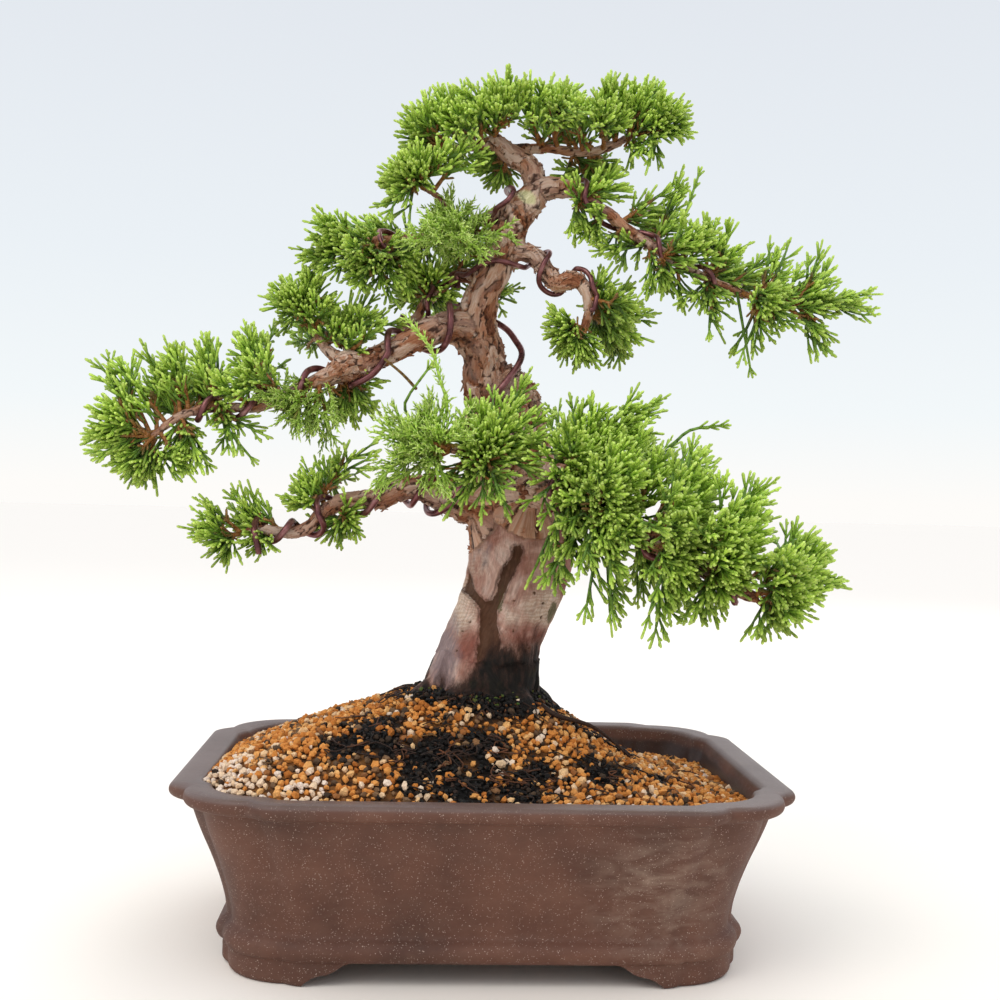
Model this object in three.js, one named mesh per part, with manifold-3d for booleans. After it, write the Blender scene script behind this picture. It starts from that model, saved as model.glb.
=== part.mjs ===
// A bonsai tree in an oblong stoneware pot: a juniper with thread-like scale-leaf foliage, trained
// with wound wires, on a mound of baked-clay grains.
// Millimetres, +Z up. Every place is measured from a point at the foot of the feet, just left of the
// middle of the pot; -Y is the front. The whole plant is shifted at the end, so that its own box
// is centred over the origin.
import * as THREE from 'three';
import { mergeVertices } from 'three/addons/utils/BufferGeometryUtils.js';
import Module from 'manifold-3d';

const wasm = await Module();
wasm.setup();
const TURN = 2 * Math.PI;
const GAP = 0.35; // air left between pieces that rest on each other
const MERGE_WITHIN = 0.04; // facets nearer to one plane than this become one

// ---------------------------------------------------------------- pot
const POT_X = 1.7; // the pot's middle
const RIM_HALF_WIDTH = 122.5;
const RIM_HALF_DEPTH = 103;
const FOOT_INSET = 21; // how far the foot of the pot stands inside the rim
const FOOT_HEIGHT = 9;
const FLOOR_TOP = 18;
const FOOT_WALL = 10;
const LOBE_STEPS = 4; // flats round each corner lobe
// a corner, measured in from the two sides that meet there: where the flat panel ends, the
// crease beside it as [in, along], and how far the lobe is cut back on its diagonal
const CORNER_AT_FOOT = { panelEnd: 33, crease: [3, 26], diagonal: 10.3 };
const CORNER_AT_RIM = { panelEnd: 44, crease: [7.5, 33], diagonal: 15 };
// inset from the rim's outline, and height, from the foot up the outside to the rim
const POT_OUTSIDE = [
  [22, 0], [21, 1.4], [21, 9], [19.4, 9.9], [18.2, 13], [19, 16], [22.2, 18.2], [21.6, 25],
  [19.4, 33], [16.2, 42], [12.8, 50], [9.8, 58], [8, 64.4], [4.2, 65], [1, 66.4], [0, 68.8],
  [1, 71.2], [4, 72],
];
// and from the rim down the inside to the floor
const POT_INSIDE = [
  [11.4, 71.8], [13, 70.4], [14.8, 64], [17.8, 55], [23, 40], [27, 28], [29, 18],
];
const FRONT_FOOT_REACH = 68.2; // half the clear width between the two front feet, at the floor
const SIDE_FOOT_REACH = 47;
// the ogee end of a foot: inwards from its toe, and height
const FOOT_OGEE = [[0, 0], [2.4, 2.2], [5.2, 3.7], [9.6, 4.7], [13.6, 6.8], [18, 9]];
const DRAIN_X = 45;
const DRAIN_RADIUS = 8;
const SCREEN_SIDE = 25;
const SCREEN_THICKNESS = 0.9;
const SCREEN_OPENING = 6.3;
const SCREEN_BAR = 1.4;

// ---------------------------------------------------------------- soil
const MOUND_TOP = 103;
const MOUND_CENTRE = [2, -2];
const MOUND_CROWN = 22; // radius of the flat top round the trunk
const GRAIN_RISE = 1.3; // how far single grains stand out of the mound, larger than life
const SOIL_RINGS = 11;
const SOIL_FRONT_STEPS = 9; // facets along the front and back of the pot, and along its sides
const SOIL_SIDE_STEPS = 6;
// where the bed meets the wall: its middle height, and how much lower it lies at the back and
// at the right
const SOIL_EDGE = { middle: 65.2, back: 4.2, right: 3.6 };
// how steeply the mound falls: 1 is a straight slope, more is hollow
const MOUND_FALL = { middle: 1.3, back: 0.2, right: 0.57 };

// ---------------------------------------------------------------- wood
// each branch runs through points of [x, y, z, radius]
const BRANCHES = {
  trunk: [
    [1, -2, 64, 15], [2, -2, 76, 24], [2, -2, 91, 26], [2, -2, 101, 24.5], [4, -2, 114, 21.8],
    [8, -1, 127, 20.6], [14, 0, 142, 21.4], [17, 2, 157, 22], [16, 4, 172, 21.5], [14, 6, 187, 20],
    [11, 8, 204, 19], [10, 9, 220, 17], [12, 9, 232, 13], [15, 9, 237, 8.5],
  ],
  leader: [
    [8, 9, 209, 13], [3, 8, 225, 11.5], [0, 7, 237, 9.6], [-1, 6, 247, 9.2], [-5, 4, 255, 10],
    [-4, 2, 264, 8.2], [-1, 1, 273, 7], [3, 0, 281, 6.9], [6, 0, 290, 7.6], [8, -1, 298, 8],
    [11, -2, 304, 7.4], [16, -2, 310, 6.8], [21, -1, 316, 5.6],
  ],
  knob: [[13, -3, 302, 6.6], [9, -5, 307, 6], [8, -6, 309, 4.4]],
  apex: [[20, -1, 315, 5.4], [19, 1, 322, 5], [16, 3, 328, 4.8], [9, 4, 332, 4.6], [4, 4, 336, 4],
    [0, 4, 340, 3]],
  apex_left: [[2, 5, 338, 3], [-5, 5, 336, 2.2], [-12, 4, 334, 1.8], [-19, 3, 334, 1.4]],
  apex_right: [
    [8, 6, 334, 3], [18, 12, 337, 2.4], [28, 15, 338, 2.1], [39, 15, 337, 2.2], [49, 13, 338, 2],
    [58, 11, 342, 1.8], [67, 8, 347, 1.4],
  ],
  upper_right: [
    [19, -1, 315, 5.6], [25, -3, 317, 4.7], [31, -4, 317, 4.2], [37, -6, 315, 3.8], [43, -8, 310, 3.1],
    [50, -9, 306, 2.8], [57, -10, 300, 2.6], [66, -11, 294, 2.4], [74, -12, 289, 2.2],
    [88, -12, 281, 2], [102, -10, 276, 1.8], [115, -8, 272, 1.7], [128, -6, 270, 1.4],
  ],
  right_mid: [
    [11, 0, 290, 4], [19, -3, 288, 3.8], [24, -5, 282, 3.6], [29, -7, 276, 3.8], [35, -8, 277, 4],
    [39, -9, 276, 3.2], [42, -10, 271, 2.5], [43, -9, 264, 2.2], [41, -8, 256, 1.7],
  ],
  left_main: [
    [-5, 4, 255, 8.6], [-13, -1, 257, 7], [-22, -5, 254, 5.9], [-32, -8, 249, 5.4], [-43, -10, 243, 5],
    [-52, -12, 238, 5], [-59, -13, 237, 6.2], [-65, -14, 233, 4], [-74, -15, 229, 2.8],
    [-85, -17, 223, 2.5], [-94, -18, 219, 2.3], [-105, -19, 218, 2.2], [-117, -21, 217, 2.1],
    [-127, -22, 213, 1.9], [-137, -23, 205, 1.5],
  ],
  left_upper_twig: [[-60, -11, 239, 3.4], [-67, -4, 244, 2.4], [-73, 2, 251, 1.8], [-79, 4, 259, 1.3]],
  mid_left: [
    [-1, 4, 277, 4], [-8, 10, 280, 3.2], [-15, 12, 279, 2.8], [-21, 11, 272, 2.4], [-27, 9, 267, 2.2],
    [-30, 7, 261, 2.1], [-34, 5, 258, 1.9], [-39, 3, 255, 1.5],
  ],
  upper_left: [
    [9, 0, 304, 5], [2, 4, 305, 3.2], [-5, 7, 303, 2.6], [-14, 9, 299, 2.4], [-23, 9, 297, 2.3],
    [-33, 8, 295, 2.2], [-45, 7, 294, 1.9], [-54, 6, 293, 1.5],
  ],
  upper_left_twig: [[-11, 9, 300, 2.2], [-17, 2, 306, 1.8], [-23, -3, 312, 1.5], [-30, -5, 315, 1.2]],
  lower_left: [
    [-1, 5, 180, 9], [-9, 0, 181, 7.4], [-16, -3, 183, 6.6], [-23, -5, 186, 5.8], [-31, -7, 187, 5.2],
    [-37, -8, 185, 4.7], [-44, -9, 182, 4.6], [-53, -10, 181, 4], [-62, -12, 179, 3.5],
    [-68, -13, 175, 3], [-72, -14, 170, 2.8], [-78, -15, 167, 2.7], [-85, -16, 167, 2.4],
    [-93, -17, 168, 2], [-100, -18, 166, 1.4],
  ],
  lower_right: [
    [17, 0, 186, 9], [22, -20, 187, 7.4], [29, -34, 186, 6.2], [37, -46, 184, 5.2], [48, -56, 179, 4.8],
    [63, -65, 170, 4.5], [76, -72, 163, 4.2], [87, -77, 156, 3.8], [95, -80, 151, 3], [102, -82, 148, 2],
  ],
  front: [[11, 0, 199, 7], [6, -20, 200, 4.6], [0, -34, 201, 3.4], [-8, -44, 202, 2.4],
    [-15, -50, 202, 1.7]],
  back: [[13, 8, 189, 8], [22, 32, 193, 5.6], [35, 56, 197, 4.4], [52, 80, 200, 3.4],
    [69, 100, 202, 2.2]],
  back_high: [[0, 10, 238, 6], [-2, 30, 247, 3.8], [-9, 48, 254, 2.6], [-19, 62, 259, 1.8]],
};
// roots that flare from the foot of the trunk and dive into the mound
const ROOTS = [
  [[-14, -6, 101, 9], [-27, -10, 94, 6.5], [-38, -13, 87, 4.5], [-46, -15, 80, 2.5]],
  [[-8, -16, 100, 8], [-16, -28, 92, 5.5], [-24, -38, 84, 3]],
  [[12, -16, 100, 8], [20, -28, 91, 5.5], [27, -36, 82, 3]],
  [[20, 0, 100, 7], [31, 2, 91, 5], [40, 3, 81, 3]],
  [[10, 16, 100, 8], [16, 28, 92, 5.5], [20, 38, 82, 3]],
  [[-12, 14, 100, 8], [-22, 24, 92, 5], [-30, 32, 83, 3]],
];

// ---------------------------------------------------------------- foliage
const STEM_RADIUS = 1.6; // green stem of a tuft, at its root and its tip
const STEM_TIP = 0.9;
const SHOOT_RADIUS = 1.3; // each further shoot of the tuft
const SHOOT_TIP = 0.8;
const THREAD_RADIUS = 0.7; // one thread of scale leaves, at its root
const THREAD_SHARE = 0.45; // its root stays inside the three-sided stem
const THREADS_FROM = 0.35; // along the stem, where the first thread stands
const THREADS_SPAN = 0.47; // and how much further on the last one
const THREADS_A_SHOOT = 4;
const FIRST_FORK = 4.5; // from the root of the stem to where its first shoot parts
const FORK_STEP = 3.5;
const BUD_GAP = 0.3; // air between a stem and the bark it stands on
const STEP_OUT = 0.1; // how finely that gap is found
const FOOT_LENGTH = 6; // the part of a stem that is held against the bark
// a tuft roots on a branch, at a place counted in that branch's points. Each of its shoots is
// [right, back, up, half width]: how far it reaches from its root, and how wide it fans out
const TUFTS = {
  apex_tip: ['apex', 5, [[9, -4, 29, 13], [-7, -28, 15, 12], [14, -34, 11, 10]]],
  apex_left_end: ['apex_left', 3, [[-21, -9, 14, 13], [-20, -1, -7, 9], [-10, 15, 27, 12]]],
  apex_left_mid: ['apex_left', 1.7, [[-10, 2, 29, 12], [-4, -34, 6, 10], [-8, 37, 28, 14],
    [11, 43, 28, 13]]],
  apex_right_near: ['apex_right', 2.3, [[-8, -23, 24, 13], [-5, -51, 10, 12], [-10, 37, 31, 14],
    [13, 40, 35, 14]]],
  apex_right_mid: ['apex_right', 4, [[0, -11, 32, 12], [-8, -39, 9, 11]]],
  apex_under: ['apex_right', 3.3, [[14, 14, -11, 10], [-11, 16, -17, 8]]],
  apex_right_high: ['apex_right', 5, [[11, -5, 29, 11], [12, 29, 23, 13]]],
  apex_right_end: ['apex_right', 6, [[23, -4, 4, 12], [3, -18, -17, 9], [12, -20, 8, 10]]],
  crown_under: ['apex', 3.6, [[1, 16, -17, 7], [-14, 18, -9, 8]]],
  tuft_high: ['upper_left_twig', 2.6, [[24, -17, 17, 10], [-3, -15, 8, 10], [-20, -6, 0, 11],
    [-15, -24, -15, 9], [-17, 14, 11, 9]]],
  tuft_front: ['upper_left', 3, [[-13, -55, -11, 10], [16, -39, -14, 8]]],
  upper_left_end: ['upper_left', 7, [[-25, -12, 5, 11], [-26, -14, -17, 12]]],
  upper_left_drop: ['upper_left', 6, [[3, -17, -29, 8], [-12, -33, -25, 11]]],
  upper_left_back: ['upper_left', 5.2, [[-28, 38, 9, 14], [-3, 32, -5, 11]]],
  left_rise: ['left_upper_twig', 3, [[-5, -10, 8, 11], [13, -10, 15, 12]]],
  left_rise_near: ['left_upper_twig', 1, [[29, -8, 20, 11], [-14, 48, 13, 14]]],
  left_drop_front: ['left_main', 8, [[4, -19, -25, 11], [-18, -15, -12, 9]]],
  left_drop: ['left_main', 6.6, [[17, 18, -14, 9], [5, 24, -23, 8]]],
  left_crest: ['left_main', 9.4, [[-14, 7, 32, 9], [-18, -17, 10, 11], [-7, 43, 30, 12]]],
  far_left_crest: ['left_main', 12, [[2, 11, 35, 9], [-9, 41, 21, 11], [21, -15, -20, 4]]],
  far_left_high: ['left_main', 13, [[-7, 6, 34, 12], [-8, 48, 23, 12], [15, -8, -26, 8]]],
  far_left_end: ['left_main', 14, [[-28, -5, -2, 11], [-17, 9, 38, 12], [-22, -13, 13, 10]]],
  far_left_drop: ['left_main', 13.5, [[-15, -3, -25, 11], [8, -7, -24, 10], [-22, 45, -6, 12]]],
  mid_left_twig: ['mid_left', 3, [[-18, -4, 12, 10], [14, 19, 30, 11], [-18, 24, 4, 11], [1, 29, -7, 9]]],
  leader_back: ['leader', 6.4, [[9, 45, -3, 9], [-3, 59, 18, 10]]],
  lower_left_crest: ['lower_left', 8.6, [[-16, 1, 11, 11], [19, -5, 33, 9], [3, 41, 19, 12]]],
  lower_left_under: ['lower_left', 7.6, [[4, -5, -15, 7], [-10, 13, -18, 7]]],
  lower_left_end: ['lower_left', 14, [[-24, -2, 7, 11], [-11, -6, -11, 9]]],
  lower_left_tip: ['lower_left', 12.5, [[-16, -1, 21, 8], [-2, -5, -14, 9], [-16, 37, 7, 9]]],
  droop_left: ['right_mid', 8, [[-20, -8, 3, 9], [2, -10, -17, 10]]],
  droop_right: ['right_mid', 7, [[26, -5, -9, 13], [13, 3, 14, 10], [23, 24, -17, 10], [14, 42, 4, 11]]],
  right_near: ['upper_right', 4.4, [[-16, -6, -13, 9], [14, 4, 15, 7]]],
  right_first: ['upper_right', 6.4, [[31, 18, 30, 7], [-16, -6, -14, 9], [16, 40, 15, 10]]],
  right_second: ['upper_right', 7.7, [[17, -14, 10, 11], [1, -6, -23, 11]]],
  right_third: ['upper_right', 9, [[13, 0, 29, 11], [1, -10, -18, 10], [18, 46, 13, 13]]],
  right_fourth: ['upper_right', 10.4, [[25, 3, 24, 8], [4, -11, -34, 9], [34, 39, 6, 12],
    [7, -28, -10, 11]]],
  right_end: ['upper_right', 12, [[44, 0, 2, 10], [21, -6, -24, 12], [21, 6, 22, 11]]],
  mass_high: ['lower_right', 3, [[-4, -10, 41, 13], [29, -2, 47, 15], [-18, -12, -34, 11]]],
  mass_front: ['lower_right', 4, [[-14, -48, 15, 14], [-5, -22, -47, 11], [0, -28, 31, 13]]],
  mass_back: ['lower_right', 4.6, [[31, 44, 22, 14], [9, 30, -28, 12]]],
  mass_mid: ['lower_right', 5.2, [[18, -5, 38, 15], [-8, -57, 14, 15], [-4, -31, -36, 12]]],
  mass_right: ['lower_right', 6.4, [[25, 4, 36, 14], [-4, -46, 15, 14], [-1, -10, -25, 10]]],
  mass_end: ['lower_right', 8.4, [[37, -1, 12, 11], [27, 7, 28, 13], [10, -9, -17, 11], [0, -37, 16, 12],
    [25, 41, 19, 13]]],
  front_left: ['front', 4, [[-32, -8, 12, 11], [-35, -10, -14, 8], [-13, -2, 22, 9]]],
  front_mid: ['front', 2.2, [[0, -10, 28, 9], [5, -36, -22, 11], [-15, -20, -24, 8], [19, -11, 32, 5]]],
  back_left: ['back', 2, [[-20, 44, 16, 15], [-12, 36, -17, 12]]],
  back_mid: ['back', 3, [[-8, 38, 22, 15], [15, 42, -19, 14]]],
  back_end: ['back', 4, [[43, 18, 2, 15], [25, 40, 19, 14], [12, -16, -18, 13]]],
  high_back: ['back_high', 3, [[-10, 22, 9, 12], [11, 30, 21, 12], [-24, 8, -4, 10]]],
};

// ================================================================ small tools
const vec = (x, y, z) => new THREE.Vector3(x, y, z);

// the same run of numbers from 0 to 1 each time, for a given seed
function draws(seed) {
  let state = seed >>> 0;
  return () => {
    state = (state + 0x6d2b79f5) >>> 0;
    let mixed = Math.imul(state ^ (state >>> 15), state | 1);
    mixed = (mixed + Math.imul(mixed ^ (mixed >>> 7), mixed | 61)) ^ mixed;
    return ((mixed ^ (mixed >>> 14)) >>> 0) / 4294967296;
  };
}

function solidOf(geometry) {
  const bare = geometry.clone();
  bare.deleteAttribute('normal');
  bare.deleteAttribute('uv');
  const merged = mergeVertices(bare, 1e-4);
  return new wasm.Manifold(new wasm.Mesh({
    numProp: 3,
    vertProperties: new Float32Array(merged.attributes.position.array),
    triVerts: new Uint32Array(merged.index.array),
  }));
}

function geometryOf(solid) {
  const mesh = solid.getMesh();
  const geometry = new THREE.BufferGeometry();
  geometry.setAttribute('position', new THREE.BufferAttribute(new Float32Array(mesh.vertProperties), 3));
  geometry.setIndex(new THREE.BufferAttribute(new Uint32Array(mesh.triVerts), 1));
  geometry.computeVertexNormals();
  return geometry;
}

const joined = (solids) => solids.reduce((whole, next) => whole.add(next));

// a closed skin over a run of rings, each an equal number of points that turn anticlockwise as
// seen from before the first ring
function skinOver(rings) {
  const columns = rings[0].length;
  const rows = rings.length - 1;
  const skin = new THREE.CylinderGeometry(1, 1, rows, columns, rows);
  const place = skin.attributes.position;
  for (let v = 0; v < place.count; v++) {
    const ring = rings[Math.round(rows / 2 - place.getY(v))];
    const x = place.getX(v);
    const z = place.getZ(v);
    const middle = Math.hypot(x, z) < 0.5;
    const column = (Math.round((Math.atan2(x, z) / TURN) * columns) + columns) % columns;
    const point = middle
      ? ring.reduce((sum, p) => sum.add(p), vec(0, 0, 0)).divideScalar(columns)
      : ring[column];
    place.setXYZ(v, point.x, point.y, point.z);
  }
  return solidOf(skin);
}

// a tube through stations of { point, radius }; shape(turn, station) scales its radius
function tubeAlong(stations, sides, shape = () => 1) {
  const side = vec(0, 0, 0);
  const rings = stations.map(({ point, radius }, i) => {
    const before = stations[Math.max(i - 1, 0)].point;
    const after = stations[Math.min(i + 1, stations.length - 1)].point;
    const along = after.clone().sub(before).normalize();
    if (i === 0) side.copy(Math.abs(along.y) < 0.9 ? vec(0, -1, 0) : vec(0, 0, 1));
    side.addScaledVector(along, -side.dot(along)).normalize();
    const across = side.clone().cross(along);
    return Array.from({ length: sides }, (_, j) => {
      const turn = (j / sides) * TURN;
      const reach = radius * shape(turn, i);
      return point.clone().addScaledVector(side, Math.cos(turn) * reach)
        .addScaledVector(across, Math.sin(turn) * reach);
    });
  });
  return skinOver(rings);
}

// ================================================================ pot
// the outline of the pot at an inset from its rim, anticlockwise from above. Each corner is a
// shallow lobe between two creases, and flatter towards the rim
function potOutline(inset, sideSteps = 1, frontSteps = 1) {
  const halfWidth = RIM_HALF_WIDTH - inset;
  const halfDepth = RIM_HALF_DEPTH - inset;
  const flare = THREE.MathUtils.clamp(1 - inset / FOOT_INSET, 0, 1);
  const between = (foot, rim) => foot + (rim - foot) * flare;
  const panelEnd = between(CORNER_AT_FOOT.panelEnd, CORNER_AT_RIM.panelEnd);
  const creaseIn = between(CORNER_AT_FOOT.crease[0], CORNER_AT_RIM.crease[0]);
  const creaseAt = between(CORNER_AT_FOOT.crease[1], CORNER_AT_RIM.crease[1]);
  const diagonal = between(CORNER_AT_FOOT.diagonal, CORNER_AT_RIM.diagonal);
  // the circle through both creases and the cut-back point, its centre on the diagonal
  const centre = (2 * diagonal ** 2 - creaseIn ** 2 - creaseAt ** 2)
    / (4 * diagonal - 2 * (creaseIn + creaseAt));
  const radius = Math.SQRT2 * (centre - diagonal);
  const from = Math.atan2(centre - creaseAt, centre - creaseIn);
  const corner = [[0, panelEnd]];
  for (let k = 0; k <= LOBE_STEPS; k++) {
    const turn = from + ((TURN / 4 - 2 * from) * k) / LOBE_STEPS;
    corner.push([centre - radius * Math.cos(turn), centre - radius * Math.sin(turn)]);
  }
  corner.push([panelEnd, 0]);
  const quarters = [[1, 1], [-1, 1], [-1, -1], [1, -1]];
  const points = [];
  quarters.forEach(([right, back], q) => {
    const run = corner.map(([x, y]) => [right * (halfWidth - x), back * (halfDepth - y)]);
    if (q % 2) run.reverse();
    points.push(...run);
    const next = q % 2 ? [run.at(-1)[0], -run.at(-1)[1]] : [-run.at(-1)[0], run.at(-1)[1]];
    const steps = q % 2 ? sideSteps : frontSteps;
    for (let k = 1; k < steps; k++) {
      const share = k / steps;
      points.push([
        run.at(-1)[0] * (1 - share) + next[0] * share,
        run.at(-1)[1] * (1 - share) + next[1] * share,
      ]);
    }
  });
  return points.map(([x, y]) => [x + POT_X, y]);
}

const ringAt = ([inset, height]) => potOutline(inset).map(([x, y]) => vec(x, y, height)).reverse();

function footGap(reach, depth, alongY) {
  const shape = new THREE.Shape();
  const left = FOOT_OGEE.map(([inwards, height]) => [-reach + inwards, height]);
  shape.moveTo(-reach, -1);
  left.forEach(([x, y]) => shape.lineTo(x, y));
  left.reverse().forEach(([x, y]) => shape.lineTo(-x, y));
  shape.lineTo(reach, -1);
  const gap = new THREE.ExtrudeGeometry(shape, { depth, bevelEnabled: false });
  gap.translate(0, 0, -depth / 2).rotateX(Math.PI / 2);
  if (!alongY) gap.rotateZ(Math.PI / 2);
  return solidOf(gap.translate(POT_X, 0, 0));
}

function pot() {
  const insideFoot = POT_OUTSIDE[1][0] + FOOT_WALL;
  let body = skinOver([...POT_OUTSIDE, ...POT_INSIDE].map(ringAt));
  body = body.subtract(skinOver([[insideFoot, -1], [insideFoot, FOOT_HEIGHT]].map(ringAt)));
  body = body.subtract(footGap(FRONT_FOOT_REACH, 2 * RIM_HALF_DEPTH, true));
  body = body.subtract(footGap(SIDE_FOOT_REACH, 2 * RIM_HALF_WIDTH, false));
  for (const x of [-DRAIN_X, DRAIN_X]) {
    const drain = new THREE.CylinderGeometry(DRAIN_RADIUS, DRAIN_RADIUS, 2 * FLOOR_TOP, 16);
    body = body.subtract(solidOf(drain.rotateX(Math.PI / 2).translate(POT_X + x, 0, FLOOR_TOP)));
  }
  return body;
}

// a box with its middle at x, y and its underside at z
function boxAt(width, depth, height, x, y, z) {
  return solidOf(new THREE.BoxGeometry(width, depth, height).translate(x, y, z + height / 2));
}

// a square of plastic mesh, its middle at x, that keeps the soil in over a drainage hole
function drainScreen(x) {
  const low = FLOOR_TOP + GAP;
  const pitch = SCREEN_OPENING + SCREEN_BAR;
  let screen = boxAt(SCREEN_SIDE, SCREEN_SIDE, SCREEN_THICKNESS, x, 0, low);
  for (const column of [-1, 0, 1]) {
    for (const row of [-1, 0, 1]) {
      screen = screen.subtract(boxAt(
        SCREEN_OPENING, SCREEN_OPENING, 3 * SCREEN_THICKNESS,
        x + column * pitch, row * pitch, low - SCREEN_THICKNESS,
      ));
    }
  }
  return screen;
}

// ================================================================ soil
const insetInside = (height) => {
  const upper = POT_INSIDE.findIndex(([, h], i) => i > 0 && h <= height);
  const [a, b] = [POT_INSIDE[upper - 1], POT_INSIDE[upper]];
  return b[0] + ((height - b[1]) / (a[1] - b[1])) * (a[0] - b[0]) + GAP;
};

// the mound stands to the rim at the front and on the left, and lower at the back and right
function wallHeight(turn) {
  return SOIL_EDGE.middle - SOIL_EDGE.back * Math.sin(turn) - SOIL_EDGE.right * Math.cos(turn);
}

function soilBed(hole) {
  const random = draws(71);
  const rings = [];
  const outline = (inset) => potOutline(inset, SOIL_SIDE_STEPS, SOIL_FRONT_STEPS);
  const turns = outline(POT_INSIDE[2][0]).map(([x, y]) => Math.atan2(y, x));
  const edge = turns.map((turn, j) => {
    const height = wallHeight(turn);
    const [x, y] = outline(insetInside(height) + GAP)[j];
    return vec(x, y, height);
  });
  for (let k = 1; k <= SOIL_RINGS; k++) {
    const share = k / SOIL_RINGS;
    rings.push(edge.map((rim, j) => {
      const turn = turns[j];
      const crown = vec(
        MOUND_CENTRE[0] + MOUND_CROWN * Math.cos(turn),
        MOUND_CENTRE[1] + MOUND_CROWN * Math.sin(turn),
        MOUND_TOP,
      );
      const fall = MOUND_FALL.middle + MOUND_FALL.right * Math.cos(turn)
        + MOUND_FALL.back * Math.sin(turn);
      const stagger = (k + j) % 2 ? GRAIN_RISE : -GRAIN_RISE;
      const lift = k === SOIL_RINGS ? 0 : stagger * (0.4 + 0.6 * random());
      const point = crown.clone().lerp(rim, share);
      point.z = rim.z + (MOUND_TOP - rim.z) * (1 - share) ** fall + lift;
      return point;
    }));
  }
  for (const [, height] of POT_INSIDE.slice(3)) {
    const low = Math.max(height, FLOOR_TOP + GAP);
    rings.push(outline(insetInside(low)).map(([x, y]) => vec(x, y, low)));
  }
  let bed = skinOver(rings).subtract(hole);
  for (const x of [-DRAIN_X, DRAIN_X]) {
    const side = SCREEN_SIDE + 2 * GAP;
    bed = bed.subtract(boxAt(side, side, SCREEN_THICKNESS + 2 * GAP, POT_X + x, 0, FLOOR_TOP));
  }
  return bed.simplify(MERGE_WITHIN);
}

// ================================================================ wood
const curves = {};
for (const [name, points] of Object.entries(BRANCHES)) {
  const line = points.map(([x, y, z]) => vec(x, y, z));
  curves[name] = new THREE.CatmullRomCurve3(line, false, 'catmullrom', 0.5);
}

// the place on a branch counted in its points, as { point, radius, along }
function placeOn(name, index) {
  const points = BRANCHES[name];
  const last = points.length - 1;
  const at = THREE.MathUtils.clamp(index, 0, last);
  const low = Math.min(Math.floor(at), last - 1);
  const radius = points[low][3] + (points[low + 1][3] - points[low][3]) * (at - low);
  return {
    point: curves[name].getPoint(at / last),
    radius,
    along: curves[name].getTangent(at / last).normalize(),
  };
}

function stationsOf(name, stepsPerSpan) {
  const count = (BRANCHES[name].length - 1) * stepsPerSpan;
  return Array.from({ length: count + 1 }, (_, i) => placeOn(name, i / stepsPerSpan));
}

// the trunk is fluted: two smooth plates of bark with a sunken strip between them
function fluted(turn, station) {
  const wave = 0.045 * Math.cos(3 * turn + 0.35 * station) + 0.025 * Math.cos(7 * turn);
  return 0.93 + wave;
}

function rootTubes(fat) {
  return ROOTS.map((root) => {
    const stations = root.map(([x, y, z, radius]) => ({ point: vec(x, y, z), radius: radius + fat }));
    const [before, end] = stations.slice(-2).map(({ point }) => point);
    end.addScaledVector(end.clone().sub(before).normalize(), fat);
    return tubeAlong(stations, 6);
  });
}

function trunkTube(fat) {
  const stations = stationsOf('trunk', 1).map(({ point, radius }, i) => ({
    point: i === 0 ? point.clone().add(vec(0, 0, -fat)) : point,
    radius: radius + fat,
  }));
  return tubeAlong(stations, 14, fluted);
}

function wood() {
  const limbs = Object.keys(BRANCHES).filter((name) => name !== 'trunk').map((name) => {
    const startRadius = BRANCHES[name][0][3];
    const sides = startRadius > 8 ? 7 : 5;
    return tubeAlong(stationsOf(name, 1), sides);
  });
  return joined([trunkTube(0), ...rootTubes(0), ...limbs]).simplify(MERGE_WITHIN);
}

const rootHole = () => joined([trunkTube(0.5), ...rootTubes(0.5)]);

// ================================================================ wires
const THICK_WIRE = 1.4;
const THIN_WIRE = 1.15;
const WIRE_STEP_DEGREES = 43;
const WIRE_SIDES = 5;
const WIRE_LIFT = 1.1; // a flat-sided turn dips between its corners

// wire wound round a branch through knots of [place on the branch, angle in degrees], where 0 is the
// top of the branch and 90 its near side
function wound(name, knots, wire) {
  const points = [];
  for (let k = 1; k < knots.length; k++) {
    const [fromPlace, fromAngle] = knots[k - 1];
    const [toPlace, toAngle] = knots[k];
    const steps = Math.max(1, Math.round(Math.abs(toAngle - fromAngle) / WIRE_STEP_DEGREES));
    for (let i = k === 1 ? 0 : 1; i <= steps; i++) {
      const share = i / steps;
      const { point, radius, along } = placeOn(name, fromPlace + (toPlace - fromPlace) * share);
      const up = vec(0, 0, 1).addScaledVector(along, -along.z).normalize();
      const near = along.clone().cross(up).multiplyScalar(along.x < 0 ? -1 : 1);
      const turn = THREE.MathUtils.degToRad(fromAngle + (toAngle - fromAngle) * share);
      const reach = (radius + wire + GAP) * WIRE_LIFT;
      points.push(point.clone().addScaledVector(up, Math.cos(turn) * reach)
        .addScaledVector(near, Math.sin(turn) * reach));
    }
  }
  return points;
}

const route = (points) => points.map(([x, y, z]) => vec(x, y, z));

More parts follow.
